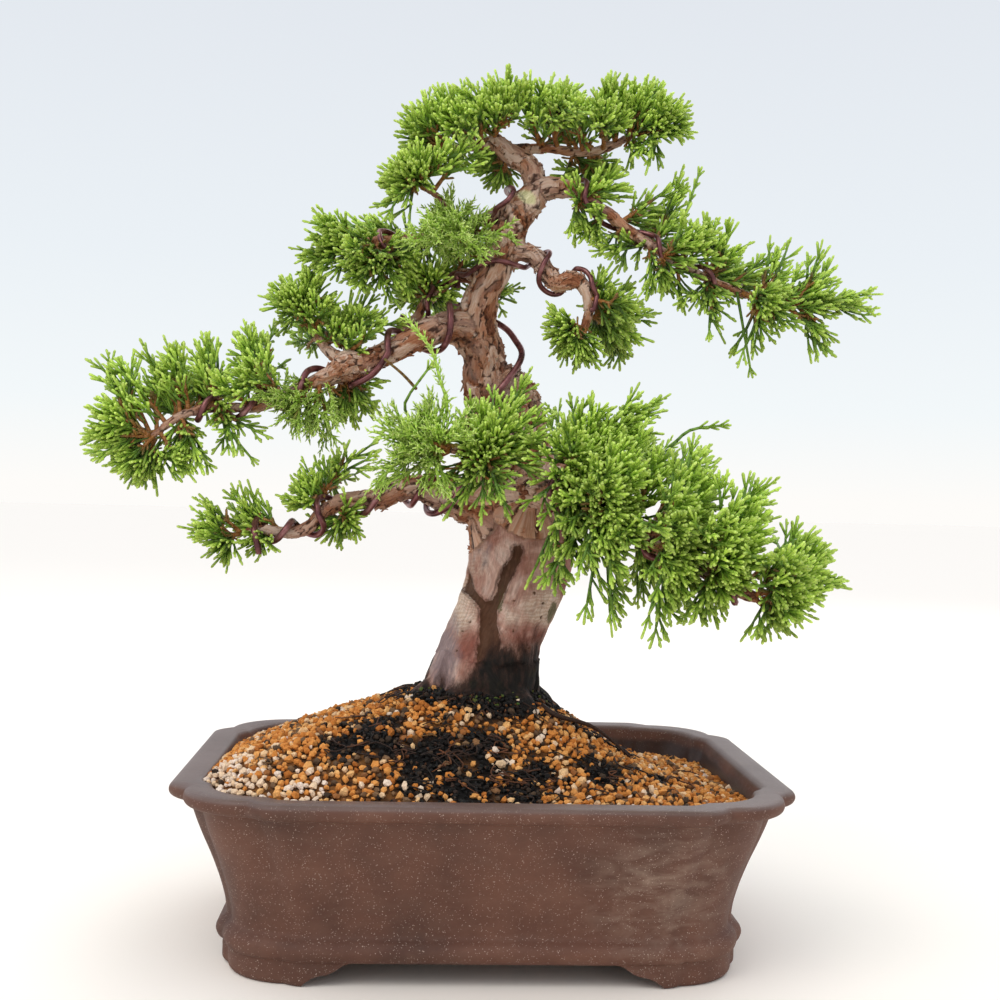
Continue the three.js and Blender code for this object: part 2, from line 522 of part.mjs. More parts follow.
// each wire is one length, wound along one branch and often carried over to another
const WIRES = {
  wire_left_main: [THICK_WIRE, [
    ...route([[-3, -6.8, 219], [2, -9, 225], [7, -9, 231], [11, -6.5, 236.5], [14.5, -2.8, 242],
      [15.5, 1.5, 247], [13, 5.5, 252], [9.5, 9.5, 257], [4, 14.5, 261], [-3, 15.5, 264],
      [-9, 13.5, 266.5], [-14, 8.5, 267.5], [-16, 3.5, 267]]),
    ...wound('left_main', [[1.3, 20], [2.2, 180], [3.5, 360], [4, 450], [5.8, 540], [7.8, 720], [9, 900],
      [9.9, 1080], [10.9, 1260], [11.6, 1440], [12.3, 1610]], THICK_WIRE),
  ]],
  wire_middle: [THIN_WIRE, [
    ...wound('right_mid', [[6.95, 525], [6.2, 415], [5.2, 370], [4.4, 340], [3.6, 270], [2.7, 180],
      [2.1, 90], [1.5, 0], [1, -90], [0.8, -150]], THIN_WIRE),
    ...route([[15.5, -3.5, 282.4], [12.5, -6.5, 282.6], [7.5, -9.2, 283.5], [2, -9.4, 284],
      [-3.5, -6.8, 282.5], [-7, -2, 280.5], [-9.5, 2.5, 279.3]]),
    ...wound('mid_left', [[1.5, 90], [2.3, 270], [3.2, 400], [4.4, 460], [5.4, 600], [6.6, 800]],
      THIN_WIRE),
  ]],
  wire_upper: [THIN_WIRE, [
    ...route([[-42, 1, 284.5], [-43, 0.5, 288], [-46, 1, 292]]),
    ...wound('upper_left', [[6.2, 750], [5.4, 640], [4.6, 540], [3.6, 420], [2.8, 270], [1.7, 80]],
      THIN_WIRE),
    ...route([[1, -6.5, 304], [2.5, -10.5, 306], [7, -13.2, 309], [9.5, -11.5, 313.5], [8, -6.5, 315.8],
      [7, 0, 315.8], [9, 6, 315.2], [14, 9.5, 315.5], [21, 9.5, 317], [27, 6.5, 318.5], [30, 3.4, 318.5]]),
    ...wound('upper_right', [[2.3, -70], [3.1, 0], [3.7, 90], [4.9, 180], [7.3, 360], [7.8, 450],
      [8.3, 540], [9.1, 720], [9.8, 900]], THIN_WIRE),
  ]],
  wire_lower_left: [THICK_WIRE, [
    ...wound('lower_left', [[1.3, -60], [1.9, 90], [2.4, 180], [3, 360], [3.6, 450], [4.2, 540],
      [5.4, 720], [7, 900], [8.6, 1080], [9.3, 1170], [9.9, 1260], [11.2, 1440], [12.4, 1620],
      [13.1, 1800]], THICK_WIRE),
    ...route([[-94.5, -23.3, 167.5], [-93, -24.6, 163], [-92, -24.6, 158]]),
  ]],
  wire_lower_right: [THICK_WIRE, [
    ...wound('lower_right', [[1, -150], [2.2, 0], [3.2, 360], [4.2, 660], [5.2, 900], [6.4, 1170],
      [7.4, 1440], [8.1, 1600]], THICK_WIRE),
  ]],
};

const stationsOfWire = ([radius, points]) => points.map((point) => ({ point, radius }));

// ================================================================ foliage
// what foliage keeps clear of: straight stretches of { from, to, radius, owner }
const stretches = [];

function addStretches(stations, owner) {
  for (let i = 1; i < stations.length; i++) {
    stretches.push({
      from: stations[i - 1].point,
      to: stations[i].point,
      radius: Math.max(stations[i - 1].radius, stations[i].radius),
      owner,
    });
  }
}

// the least distance between two straight stretches
function distanceBetween(a, b, c, d) {
  const u = b.clone().sub(a);
  const v = d.clone().sub(c);
  const w = a.clone().sub(c);
  const uu = u.dot(u);
  const uv = u.dot(v);
  const vv = v.dot(v);
  const uw = u.dot(w);
  const vw = v.dot(w);
  const spread = uu * vv - uv * uv;
  let s = spread > 1e-9 ? THREE.MathUtils.clamp((uv * vw - vv * uw) / spread, 0, 1) : 0;
  const t = THREE.MathUtils.clamp((uv * s + vw) / vv, 0, 1);
  s = THREE.MathUtils.clamp((uv * t - uw) / uu, 0, 1);
  return w.addScaledVector(u, s).addScaledVector(v, -t).length();
}

const isClear = (from, to, radius, bears = () => false) => stretches.every((other) => bears(other)
  || distanceBetween(from, to, other.from, other.to) > radius + other.radius + GAP);

// a green stem or a thread of scale leaves: slim, straight and three-sided, its root sunk in
// the stem that bears it
function sprig({ from, to, radius, tipRadius = 0 }) {
  const length = from.distanceTo(to);
  const bare = tipRadius
    ? new THREE.CylinderGeometry(tipRadius, radius, length, 3)
    : new THREE.ConeGeometry(radius, length, 3);
  const lean = new THREE.Quaternion().setFromUnitVectors(vec(0, 1, 0), to.clone().sub(from).normalize());
  return solidOf(bare.translate(0, length / 2, 0).applyQuaternion(lean).translate(from.x, from.y, from.z));
}

function grow(tuft, from, to, radius, tipRadius) {
  const added = { from, to, radius, tipRadius };
  stretches.push(added);
  tuft.sprigs.push(added);
  return added;
}

// the root of a stem on a branch: just off the bark, where no wire is in the way
function budFor(branch, index, [x, y, z], bark) {
  const along = vec(x, y, z).normalize();
  for (const shift of [0, 0.15, -0.15, 0.3, -0.3, 0.45, -0.45, 0.6, -0.6, 0.8, -0.8, 1, -1]) {
    const { point, radius } = placeOn(branch, index + shift);
    const tip = point.clone().add(vec(x, y, z));
    const bud = point.clone().addScaledVector(along, 0.3 * radius);
    const ahead = () => bud.clone().addScaledVector(along, FOOT_LENGTH);
    const foot = () => sprig({ from: bud, to: ahead(), radius: STEM_RADIUS });
    while (bark.minGap(foot(), 1) < BUD_GAP) bud.addScaledVector(along, STEP_OUT);
    const clearOfWires = isClear(bud, tip, STEM_RADIUS, ({ owner }) => owner === 'wood');
    if (clearOfWires && isClear(ahead(), tip, SHOOT_RADIUS)) return { along, point, tip, bud };
  }
  return null;
}

// the most central shoot of a tuft that finds a free way out is its stem
function startTuft([name, [branch, index, shoots]], bark) {
  const aims = shoots.map(([x, y, z]) => vec(x, y, z).normalize());
  const middle = aims.reduce((sum, aim) => sum.add(aim), vec(0, 0, 0));
  const byCentring = shoots.map((_, i) => i).sort((i, j) => aims[j].dot(middle) - aims[i].dot(middle));
  const ways = byCentring.map((i) => ({ i, way: budFor(branch, index, shoots[i], bark) }));
  const { i: chosen, way } = ways.find((each) => each.way);
  const tuft = { name, ...way, sprigs: [], stems: [], rest: shoots.filter((_, i) => i !== chosen) };
  const stem = grow(tuft, way.bud, way.tip, STEM_RADIUS, STEM_TIP);
  tuft.stems.push({ stem, halfWidth: shoots[chosen][3] });
  return tuft;
}

// the other shoots part from the stem one after another, bent towards it if something is in the way
function growShoots(tuft) {
  const [stem] = tuft.sprigs;
  const lastFork = 0.75 * stem.from.distanceTo(stem.to);
  tuft.rest.forEach(([x, y, z, halfWidth], i) => {
    const reach = vec(x, y, z);
    const towards = (bend, step, share) => {
      const fork = Math.min(FIRST_FORK + FORK_STEP * (i + step), lastFork);
      const from = tuft.bud.clone().addScaledVector(tuft.along, fork);
      const aim = reach.clone().normalize().lerp(tuft.along, bend).normalize();
      return [from, tuft.point.clone().addScaledVector(aim, reach.length() * share)];
    };
    const tries = [0, 0.15, 0.3, 0.45, 0.6].flatMap((bend) => [0, 1, 2].flatMap(
      (step) => [1, 0.8].map((share) => towards(bend, step, share)),
    ));
    const found = tries.find(([from, to]) => isClear(from, to, SHOOT_RADIUS, (other) => other === stem));
    if (found) tuft.stems.push({ stem: grow(tuft, ...found, SHOOT_RADIUS, SHOOT_TIP), halfWidth });
  });
}

// threads stand out of the three faces of each stem, forwards, to the half width of the shoot
function growThreads(tuft, random) {
  for (const { stem, halfWidth } of tuft.stems) {
    const along = stem.to.clone().sub(stem.from);
    const length = along.length();
    const lean = new THREE.Quaternion().setFromUnitVectors(vec(0, 1, 0), along.normalize());
    for (let j = 0; j < THREADS_A_SHOOT; j++) {
      const share = THREADS_FROM + (THREADS_SPAN * j) / (THREADS_A_SHOOT - 1);
      const from = stem.from.clone().addScaledVector(along, share * length);
      const stemHere = stem.radius + (stem.tipRadius - stem.radius) * share;
      const radius = Math.min(THREAD_RADIUS, THREAD_SHARE * stemHere);
      const spread = halfWidth * (0.8 + 0.35 * random());
      const towards = (shorter, shift, face) => {
        const turn = TURN * ((face + j + 0.5) / 3 + shift);
        const out = vec(Math.sin(turn), 0, Math.cos(turn)).applyQuaternion(lean);
        return from.clone().addScaledVector(out.addScaledVector(along, 0.9), spread * shorter);
      };
      const tries = [1, 0.65].flatMap((shorter) => [0, 0.15, -0.15].flatMap(
        (shift) => [0, 1, 2].map((face) => towards(shorter, shift, face)),
      ));
      const to = tries.find((tip) => isClear(from, tip, radius, (other) => other === stem));
      if (to) grow(tuft, from, to, radius, 0);
    }
  }
}

function foliage(bark) {
  for (const name of Object.keys(BRANCHES)) addStretches(stationsOf(name, 1), 'wood');
  for (const [name, wire] of Object.entries(WIRES)) addStretches(stationsOfWire(wire), name);
  const tufts = Object.entries(TUFTS).map((entry) => startTuft(entry, bark));
  tufts.forEach(growShoots);
  const random = draws(2031);
  tufts.forEach((tuft) => growThreads(tuft, random));
  return tufts;
}

// ================================================================ the whole plant
function finish(color, roughness, metalness = 0) {
  return new THREE.MeshStandardMaterial({ color, roughness, metalness, flatShading: true });
}

const STONEWARE = finish(0x6d4f46, 0.8);
const BAKED_CLAY = finish(0xb98549, 0.95);
const BARK = finish(0x8a6350, 0.9);
const ANODISED = finish(0x5a3a35, 0.35, 0.8);
const MESH_PLASTIC = finish(0x2b2b2b, 0.6);
const LEAF = finish(0x6f9a35, 0.6);

const plant = new THREE.Group();
function add(name, solid, material) {
  const piece = new THREE.Mesh(geometryOf(solid), material);
  piece.name = name;
  plant.add(piece);
}

add('pot', pot(), STONEWARE);
add('drain_screen_left', drainScreen(POT_X - DRAIN_X), MESH_PLASTIC);
add('drain_screen_right', drainScreen(POT_X + DRAIN_X), MESH_PLASTIC);
add('soil', soilBed(rootHole()), BAKED_CLAY);
const bark = wood();
add('tree_wood', bark, BARK);
for (const [name, wire] of Object.entries(WIRES)) {
  add(name, tubeAlong(stationsOfWire(wire), WIRE_SIDES), ANODISED);
}
for (const { name, sprigs } of foliage(bark)) {
  add(`foliage_${name}`, joined(sprigs.map(sprig)).simplify(MERGE_WITHIN), LEAF);
}

const box = new THREE.Box3().setFromObject(plant);
const middle = box.getCenter(vec(0, 0, 0));
plant.position.set(-middle.x, -middle.y, -box.min.z);

export default plant;
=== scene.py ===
"""A bonsai tree in an oblong stoneware pot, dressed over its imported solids.

A juniper with thread-like scale-leaf foliage is trained with wound wires and stands on a mound
of baked-clay grains. All shapes are worked out in millimetres, with +Z up and -Y to the front,
and are then put in place. X is counted from a line a little to the left of the pot's middle.
"""
import math
import random

import bmesh
import bpy
from mathutils import Matrix, Vector, kdtree, noise


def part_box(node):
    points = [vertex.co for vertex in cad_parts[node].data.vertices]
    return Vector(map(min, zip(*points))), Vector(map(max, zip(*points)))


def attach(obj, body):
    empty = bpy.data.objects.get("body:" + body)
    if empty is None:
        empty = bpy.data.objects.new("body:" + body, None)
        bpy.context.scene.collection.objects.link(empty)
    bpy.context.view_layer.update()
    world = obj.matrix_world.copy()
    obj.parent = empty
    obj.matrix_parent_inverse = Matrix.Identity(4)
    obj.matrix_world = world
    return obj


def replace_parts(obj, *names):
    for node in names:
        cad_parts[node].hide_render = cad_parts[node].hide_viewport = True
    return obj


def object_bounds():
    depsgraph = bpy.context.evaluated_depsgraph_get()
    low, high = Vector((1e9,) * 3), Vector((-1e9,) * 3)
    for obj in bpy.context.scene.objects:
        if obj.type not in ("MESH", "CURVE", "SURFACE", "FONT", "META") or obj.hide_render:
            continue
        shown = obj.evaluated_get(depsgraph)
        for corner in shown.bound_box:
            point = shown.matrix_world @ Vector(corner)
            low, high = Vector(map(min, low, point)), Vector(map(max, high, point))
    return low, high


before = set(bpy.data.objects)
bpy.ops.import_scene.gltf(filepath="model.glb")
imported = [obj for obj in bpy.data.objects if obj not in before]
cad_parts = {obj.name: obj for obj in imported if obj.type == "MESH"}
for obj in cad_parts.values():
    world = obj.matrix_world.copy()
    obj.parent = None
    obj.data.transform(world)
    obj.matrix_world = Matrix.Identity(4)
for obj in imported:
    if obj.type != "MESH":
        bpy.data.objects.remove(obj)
CAD_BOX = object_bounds()
noise.seed_set(1)  # noise_vector takes its offsets from this seed, or else from the clock

MM = 0.001
TURN = 2 * math.pi
GOLDEN_TURN = 2.4  # each side twig is turned on from the last by this angle
POT_X = 1.7  # the pot's middle in the tree's own millimetres
pot_low, pot_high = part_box("pot")
TREE_FOOT = Vector(((pot_low.x + pot_high.x) / 2 - POT_X * MM, (pot_low.y + pot_high.y) / 2, pot_low.z))
TO_ROW = Matrix.Translation(TREE_FOOT) @ Matrix.Scale(MM, 4)
TO_MM = TO_ROW.inverted()

# ---------------------------------------------------------------- camera
CAMERA_PLACE = Vector((-27.1, -618.6, 185.4))
CAMERA_YAW = 3.22
CAMERA_DIP = 0.26
CAMERA_ROLL = 1.47
CAMERA_LENS = 51.77
SENSOR = 36.0


def place_camera():
    """The camera of the photograph, as found from the pot's rim, belt and feet."""
    yaw, dip, roll = (math.radians(a) for a in (CAMERA_YAW, CAMERA_DIP, CAMERA_ROLL))
    ahead = Vector((math.sin(yaw) * math.cos(dip), math.cos(yaw) * math.cos(dip), -math.sin(dip)))
    level = Vector((math.cos(yaw), -math.sin(yaw), 0))
    upright = level.cross(ahead)
    right = level * math.cos(roll) + upright * math.sin(roll)
    up = upright * math.cos(roll) - level * math.sin(roll)
    data = bpy.data.cameras.new("camera")
    data.lens = CAMERA_LENS
    data.sensor_width = SENSOR
    data.clip_start = 0.01
    camera = bpy.data.objects.new("camera", data)
    turned = Matrix((right, up, -ahead)).transposed().to_4x4()
    camera.matrix_world = Matrix.Translation(TO_ROW @ CAMERA_PLACE) @ turned
    bpy.context.scene.collection.objects.link(camera)
    bpy.context.scene.camera = camera


place_camera()


# ================================================================ materials
def linear(colour):
    """An sRGB hex colour as linear red, green, blue and alpha."""
    parts = [int(colour[i:i + 2], 16) / 255 for i in (1, 3, 5)]
    return [c / 12.92 if c <= 0.04045 else ((c + 0.055) / 1.055) ** 2.4 for c in parts] + [1.0]


def node(material, kind, inputs=(), out=0, stops=None, **settings):
    """Adds a node, its settings, its inputs (numbers, hex colours or other outputs, in order or by
    socket) and colour stops, and gives one of its outputs."""
    tree = material.node_tree
    added = tree.nodes.new("ShaderNode" + kind)
    for name, value in settings.items():
        setattr(added, name, value)
    for socket, value in (inputs if isinstance(inputs, dict) else dict(enumerate(inputs))).items():
        if isinstance(value, bpy.types.NodeSocket):
            tree.links.new(value, added.inputs[socket])
        else:
            added.inputs[socket].default_value = linear(value) if isinstance(value, str) else value
    if stops:
        ramp = added.color_ramp
        while len(ramp.elements) < len(stops):
            ramp.elements.new(0.5)
        for element, (place, colour) in zip(ramp.elements, stops):
            element.position = place
            element.color = linear(colour) if isinstance(colour, str) else [colour] * 3 + [1.0]
    return added.outputs[out]


# a Mix node takes its share at socket 0 and its colours at 6 and 7, and gives a colour at 2
MIX = {"data_type": "RGBA", "out": 2}
TIMES = {"data_type": "RGBA", "out": 2, "blend_type": "MULTIPLY"}


def finish_of(material, plain, **linked):
    """Sets a material's shader: plain values on their sockets, and patterns linked to theirs."""
    shader = material.node_tree.nodes["Principled BSDF"]
    for name, value in plain.items():
        shader.inputs[name].default_value = value
    for name, output in linked.items():
        material.node_tree.links.new(output, shader.inputs[name.replace("_", " ")])
    return material


def new_material(name):
    """A material, and the place on the object that its patterns are drawn from."""
    material = bpy.data.materials.new(name)
    material.use_nodes = True
    return material, node(material, "TexCoord", out="Object")


def stoneware():
    """Unglazed stoneware, fired in reduction: matt red brown clay with fine pale specks of grog, with a
    painted grey sheen and a faint shine on the lip's upper faces, and darkened by water inside."""
    m, place = new_material("unglazed_stoneware")
    # cloudy change of tone over a few centimetres
    cloud = node(m, "TexNoise", {"Vector": place, "Scale": 26.0, "Detail": 5.0, "Roughness": 0.6})
    body = node(m, "ValToRGB", [cloud], stops=[(0.3, "#4b3026"), (0.5, "#5d3b2e"), (0.72, "#6e4838")])
    # grog specks from 0.2 to 0.8 mm across, of ragged outline, in three sizes
    sizes = []
    for scale, width, shift in ((400.0, 0.16, 0.0), (820.0, 0.24, 3.0), (1500.0, 0.3, 7.0)):
        shifted = node(m, "VectorMath", [place, (shift, 0, 0)])
        cells = node(m, "TexVoronoi", {"Vector": shifted, "Scale": scale})
        ragged = node(m, "TexNoise", {"Vector": place, "Scale": 2.3 * scale})
        near = node(m, "Math", [ragged, 0.25, cells], operation="MULTIPLY_ADD")
        dot = node(m, "MapRange", [near, width + 0.08, width, 0.0, 1.0])
        rare = node(m, "TexNoise", {"Vector": place, "Scale": 0.7 * scale, "Detail": 1.0})
        kept = node(m, "Math", [rare, 0.56], operation="GREATER_THAN")
        sizes.append(node(m, "Math", [dot, kept], operation="MULTIPLY"))
    coarse = node(m, "Math", sizes[:2], operation="MAXIMUM")
    specks = node(m, "Math", [coarse, sizes[2]], operation="MAXIMUM")
    pale = node(m, "Mix", {0: specks, 6: body, 7: "#ab9486"}, **MIX)
    # a thin lime haze, wiped aslant, on the right of the front
    away = node(m, "VectorMath", [place, (0.068, -0.09, 0.038)], operation="DISTANCE", out="Value")
    near = node(m, "MapRange", [away, 0.008, 0.036, 1.0, 0.1])
    aslant = node(m, "Mapping", {"Vector": place, "Rotation": (0, 0.7, 0), "Scale": (80, 80, 210)})
    wiped = node(m, "TexNoise", {"Vector": aslant, "Scale": 1.0, "Detail": 6.0, "Roughness": 0.6,
                                 "Distortion": 0.6})
    faint = node(m, "MapRange", [wiped, 0.42, 0.72, 0.04, 0.5])
    haze = node(m, "Math", [near, faint], operation="MULTIPLY")
    hazy = node(m, "Mix", {0: haze, 6: pale, 7: "#a8917f"}, **MIX)
    # inside, water darkens the wall up to a ragged tide line
    inside = node(m, "Attribute", attribute_name="inside", out="Fac")
    creep = node(m, "TexNoise", {"Vector": place, "Scale": 70.0, "Detail": 4.0})
    tide = node(m, "Math", [creep, 0.7, inside], operation="MULTIPLY_ADD")
    wet = node(m, "MapRange", [tide, 0.6, 0.95, 0.0, 0.85])
    damp = node(m, "Mix", {0: wet, 6: hazy, 7: "#2d1b15"}, **MIX)
    # painted sheen: the lip's upward faces are greyed in patches, standing for the sky's reflection, and made
    # glossier
    lip = node(m, "Attribute", attribute_name="lip", out="Fac")
    sheen_patchiness = node(m, "MapRange", [cloud, 0.3, 0.7, 0.35, 0.85])
    painted_sheen = node(m, "Math", [lip, sheen_patchiness], operation="MULTIPLY")
    toned = node(m, "Mix", {0: painted_sheen, 6: damp, 7: "#6a5a55"}, **MIX)
    gloss = node(m, "Math", [lip, -0.24, 0.66], operation="MULTIPLY_ADD")
    sheen = node(m, "Math", [wet, -0.34, gloss], operation="MULTIPLY_ADD")
    fine = node(m, "TexNoise", {"Vector": place, "Scale": 900.0, "Detail": 4.0, "Roughness": 0.65})
    dents = node(m, "TexNoise", {"Vector": place, "Scale": 120.0, "Detail": 3.0})
    height = node(m, "Math", [dents, 1.2, fine], operation="MULTIPLY_ADD")
    bump = node(m, "Bump", {"Strength": 0.3, "Distance": 0.0004, "Height": height})
    return finish_of(m, {"IOR": 1.4}, Base_Color=toned, Roughness=sheen, Normal=bump)


def clay_grains():
    """Baked-clay and pumice grains: dull, porous, each of one colour, from orange to cream and black."""
    m, place = new_material("baked_clay_grains")
    kind = node(m, "Attribute", attribute_name="kind", out="Fac")
    colour = node(m, "ValToRGB", [kind], stops=[
        (0.0, "#171210"), (0.08, "#4c3c2f"), (0.16, "#846446"), (0.26, "#ab6428"), (0.42, "#cd7f38"),
        (0.6, "#e2994e"), (0.74, "#edb572"), (0.85, "#edc698"), (0.93, "#efd3b6"), (1.0, "#f3dfce")])
    pores = node(m, "TexNoise", {"Vector": place, "Scale": 1400.0, "Detail": 3.0, "Roughness": 0.7})
    tone = node(m, "MapRange", [pores, 0.3, 0.7, 0.68, 1.14])
    toned = node(m, "Mix", {0: 1.0, 6: colour, 7: tone}, **TIMES)
    rough = node(m, "MapRange", [pores, 0.3, 0.7, 0.98, 0.86])
    bump = node(m, "Bump", {"Strength": 0.5, "Distance": 0.0005, "Height": pores})
    return finish_of(m, {"IOR": 1.35}, Base_Color=toned, Roughness=rough, Normal=bump)


def soil_bed():
    """The bed under the top grains: the same clay in shade, crumbled, black where it is peaty."""
    m, place = new_material("crumbled_clay")
    deep = node(m, "TexVoronoi", {"Vector": place, "Scale": 380.0})
    clay = node(m, "ValToRGB", [deep.node.outputs["Color"]],
                stops=[(0.1, "#21150d"), (0.5, "#5e3a1b"), (0.9, "#8a5a2a")])
    peaty = node(m, "Attribute", attribute_name="peaty", out="Fac")
    toned = node(m, "Mix", {0: peaty, 6: clay, 7: "#0e0a08"}, **MIX)
    rough = node(m, "MapRange", [deep, 0.0, 0.8, 0.98, 0.85])
    bump = node(m, "Bump", {"Strength": 0.9, "Distance": 0.0015, "Height": deep})
    return finish_of(m, {"IOR": 1.35}, Base_Color=toned, Roughness=rough, Normal=bump)


def peat():
    """Damp peat, old bark crumbs and moss: near black to brown and olive, with a weak wet gleam."""
    m, place = new_material("damp_peat")
    kind = node(m, "Attribute", attribute_name="kind", out="Fac")
    colour = node(m, "ValToRGB", [kind], stops=[
        (0.0, "#090706"), (0.5, "#16100c"), (0.72, "#332016"), (0.86, "#6b3f24"), (0.92, "#5c5a24"),
        (1.0, "#3f5a1c")])
    crumbs = node(m, "TexNoise", {"Vector": place, "Scale": 1600.0, "Detail": 3.0})
    tone = node(m, "MapRange", [crumbs, 0.3, 0.7, 0.7, 1.25])
    toned = node(m, "Mix", {0: 1.0, 6: colour, 7: tone}, **TIMES)
    rough = node(m, "MapRange", [crumbs, 0.3, 0.7, 0.9, 0.6])
    bump = node(m, "Bump", {"Strength": 0.4, "Distance": 0.0004, "Height": crumbs})
    return finish_of(m, {"IOR": 1.4}, Base_Color=toned, Roughness=rough, Normal=bump)


def bark():
    """Juniper bark: orange-brown plates that crack and flake on the upper wood, and a smooth mauve
    and cream skin on the old trunk, with a brown sunken strip whose floor and lips carry painted shade, and
    black and mossy at the soil."""
    m, place = new_material("juniper_bark")
    grain = node(m, "Attribute", attribute_name="grain", out="Vector")
    flaky, relief, tint, cut = (node(m, "Attribute", attribute_name=name, out="Fac")
                                for name in ("flaky", "relief", "tint", "cut"))
    stain, strip = (node(m, "SeparateColor", [node(m, "Attribute", attribute_name=name)]).node.outputs
                    for name in ("stain", "strip"))
    # fibres about 1 mm wide and 5 mm long, in the grain's own millimetres
    along = node(m, "Mapping", {"Vector": grain, "Scale": (1.0, 1.0, 0.2)})
    fibres = node(m, "TexNoise", {"Vector": along, "Scale": 0.9, "Detail": 6.0, "Roughness": 0.65,
                                  "Distortion": 0.5})
    streaks = node(m, "Math", [fibres, 0.8], operation="MULTIPLY")
    mottled = node(m, "Math", [tint, 0.55, streaks], operation="MULTIPLY_ADD")
    warm = node(m, "ValToRGB", [mottled], stops=[
        (0.3, "#55301f"), (0.44, "#854e32"), (0.58, "#a66c4c"), (0.74, "#b98a6e"), (0.92, "#d3b5a2")])
    patches = node(m, "TexNoise", {"Vector": place, "Scale": 75.0, "Detail": 4.0})
    weathered = node(m, "MapRange", [patches, 0.48, 0.62, 0.0, 0.45])
    plates = node(m, "Mix", {0: weathered, 6: warm, 7: "#b69c8f"}, **MIX)
    # darker between the plates: partly the cracks' own colour and partly painted shade; the same mask paints
    # shade beside the knob's wrinkles and round the scar
    crack = node(m, "MapRange", [relief, 0.04, 0.5, 0.94, 0.0])
    upper = node(m, "Mix", {0: crack, 6: plates, 7: "#3a2117"}, **MIX)
    # the skin of the old trunk
    cloud = node(m, "TexNoise", {"Vector": place, "Scale": 52.0, "Detail": 7.0, "Roughness": 0.62,
                                 "Distortion": 0.8})
    low = node(m, "ValToRGB", [cloud], stops=[
        (0.3, "#754639"), (0.42, "#966859"), (0.52, "#ae8677"), (0.62, "#c8a99b"), (0.74, "#dcc8b9")])
    drawn_out = node(m, "Mapping", {"Vector": place, "Scale": (1.0, 1.0, 0.45)})
    torn = node(m, "TexNoise", {"Vector": drawn_out, "Scale": 170.0, "Detail": 7.0, "Roughness": 0.7})
    ragged = node(m, "Math", [torn, 0.5], operation="SUBTRACT")
    # growth lines about 1.5 mm apart across the cream skin
    rings = node(m, "TexWave", {"Vector": place, "Scale": 210.0, "Distortion": 14.0, "Detail": 4.0,
                                "Detail Scale": 0.5, "Detail Roughness": 0.7}, bands_direction="Z")
    lined = node(m, "ValToRGB", [rings], stops=[(0.05, "#c1a894"), (0.4, "#ccb6a3"), (0.9, "#d6c3b1")])
    # the strip's floor is brown, partly its own colour and partly painted shade; the second strip channel
    # darkens the soil line and, as painted shade, the strip's lips
    for share, colour, sharpness, most in (
            (stain["Red"], lined, 1.5, 0.8), (stain["Green"], "#7a392c", 1.4, 0.74),
            (strip["Blue"], "#7c7074", 1.6, 0.75), (strip["Red"], "#50311c", 4.0, 0.94),
            (strip["Green"], "#3f2418", 1.6, 0.94), (stain["Blue"], "#4f4d22", 6.0, 0.8)):
        broken = node(m, "Math", [ragged, 2.2, share], operation="MULTIPLY_ADD")
        edge = 0.5 / sharpness
        covered = node(m, "MapRange", [broken, 0.5 - edge, 0.5 + edge, 0.0, most])
        low = node(m, "Mix", {0: covered, 6: low, 7: colour}, **MIX)
    # near black at the soil, and painted shade along the sunken strip's lips
    ragged_black_and_lip_shade = node(m, "Math", [ragged, 1.4, strip["Green"]], operation="MULTIPLY_ADD")
    black_and_lip_shade = node(m, "MapRange", [ragged_black_and_lip_shade, 0.62, 1.05, 0.0, 0.98])
    low = node(m, "Mix", {0: black_and_lip_shade, 6: low, 7: "#0d0906"}, **MIX)
    veins = node(m, "MapRange", [fibres, 0.3, 0.7, 0.66, 1.22])
    veined = node(m, "Mix", {0: 1.0, 6: low, 7: veins}, **TIMES)
    both = node(m, "Mix", {0: flaky, 6: veined, 7: upper}, **MIX)
    wood = node(m, "ValToRGB", [fibres], stops=[(0.35, "#a8a475"), (0.5, "#d2ca9c"), (0.65, "#e4dcb6")])
    finished = node(m, "Mix", {0: cut, 6: both, 7: wood}, **MIX)
    fine = node(m, "TexNoise", {"Vector": along, "Scale": 3.0, "Detail": 3.0})
    height = node(m, "Math", [fine, 0.4, fibres], operation="MULTIPLY_ADD")
    strength = node(m, "Math", [flaky, 0.6, 0.35], operation="MULTIPLY_ADD")
    bump = node(m, "Bump", {"Strength": strength, "Distance": 0.0012, "Height": height})
    rough = node(m, "MapRange", [fibres, 0.3, 0.7, 0.95, 0.75])
    return finish_of(m, {"IOR": 1.4}, Base_Color=finished, Roughness=rough, Normal=bump)


def anodised_aluminium():
    """Soft aluminium wire, anodised copper brown: an even satin sheen, dulled by fine wear."""
    m, place = new_material("anodised_aluminium_wire")
    wear = node(m, "TexNoise", {"Vector": place, "Scale": 180.0, "Detail": 4.0})
    colour = node(m, "ValToRGB", [wear], stops=[(0.35, "#532e31"), (0.55, "#784848"), (0.7, "#a27674")])
    rough = node(m, "MapRange", [wear, 0.3, 0.7, 0.24, 0.4])
    drawn = node(m, "TexNoise", {"Vector": place, "Scale": 800.0})
    bump = node(m, "Bump", {"Strength": 0.1, "Distance": 0.0002, "Height": drawn})
    return finish_of(m, {"Metallic": 0.6}, Base_Color=colour, Roughness=rough, Normal=bump)


def moulded_mesh():
    """Moulded polyethylene mesh: black and slightly waxy, with clay dust on it."""
    m, place = new_material("moulded_polyethylene")
    dust = node(m, "TexNoise", {"Vector": place, "Scale": 300.0, "Detail": 3.0})
    colour = node(m, "ValToRGB", [dust], stops=[(0.4, "#161616"), (0.75, "#3a332c")])
    rough = node(m, "MapRange", [dust, 0.4, 0.7, 0.45, 0.8])
    bump = node(m, "Bump", {"Strength": 0.2, "Distance": 0.0003, "Height": dust})
    return finish_of(m, {}, Base_Color=colour, Roughness=rough, Normal=bump)


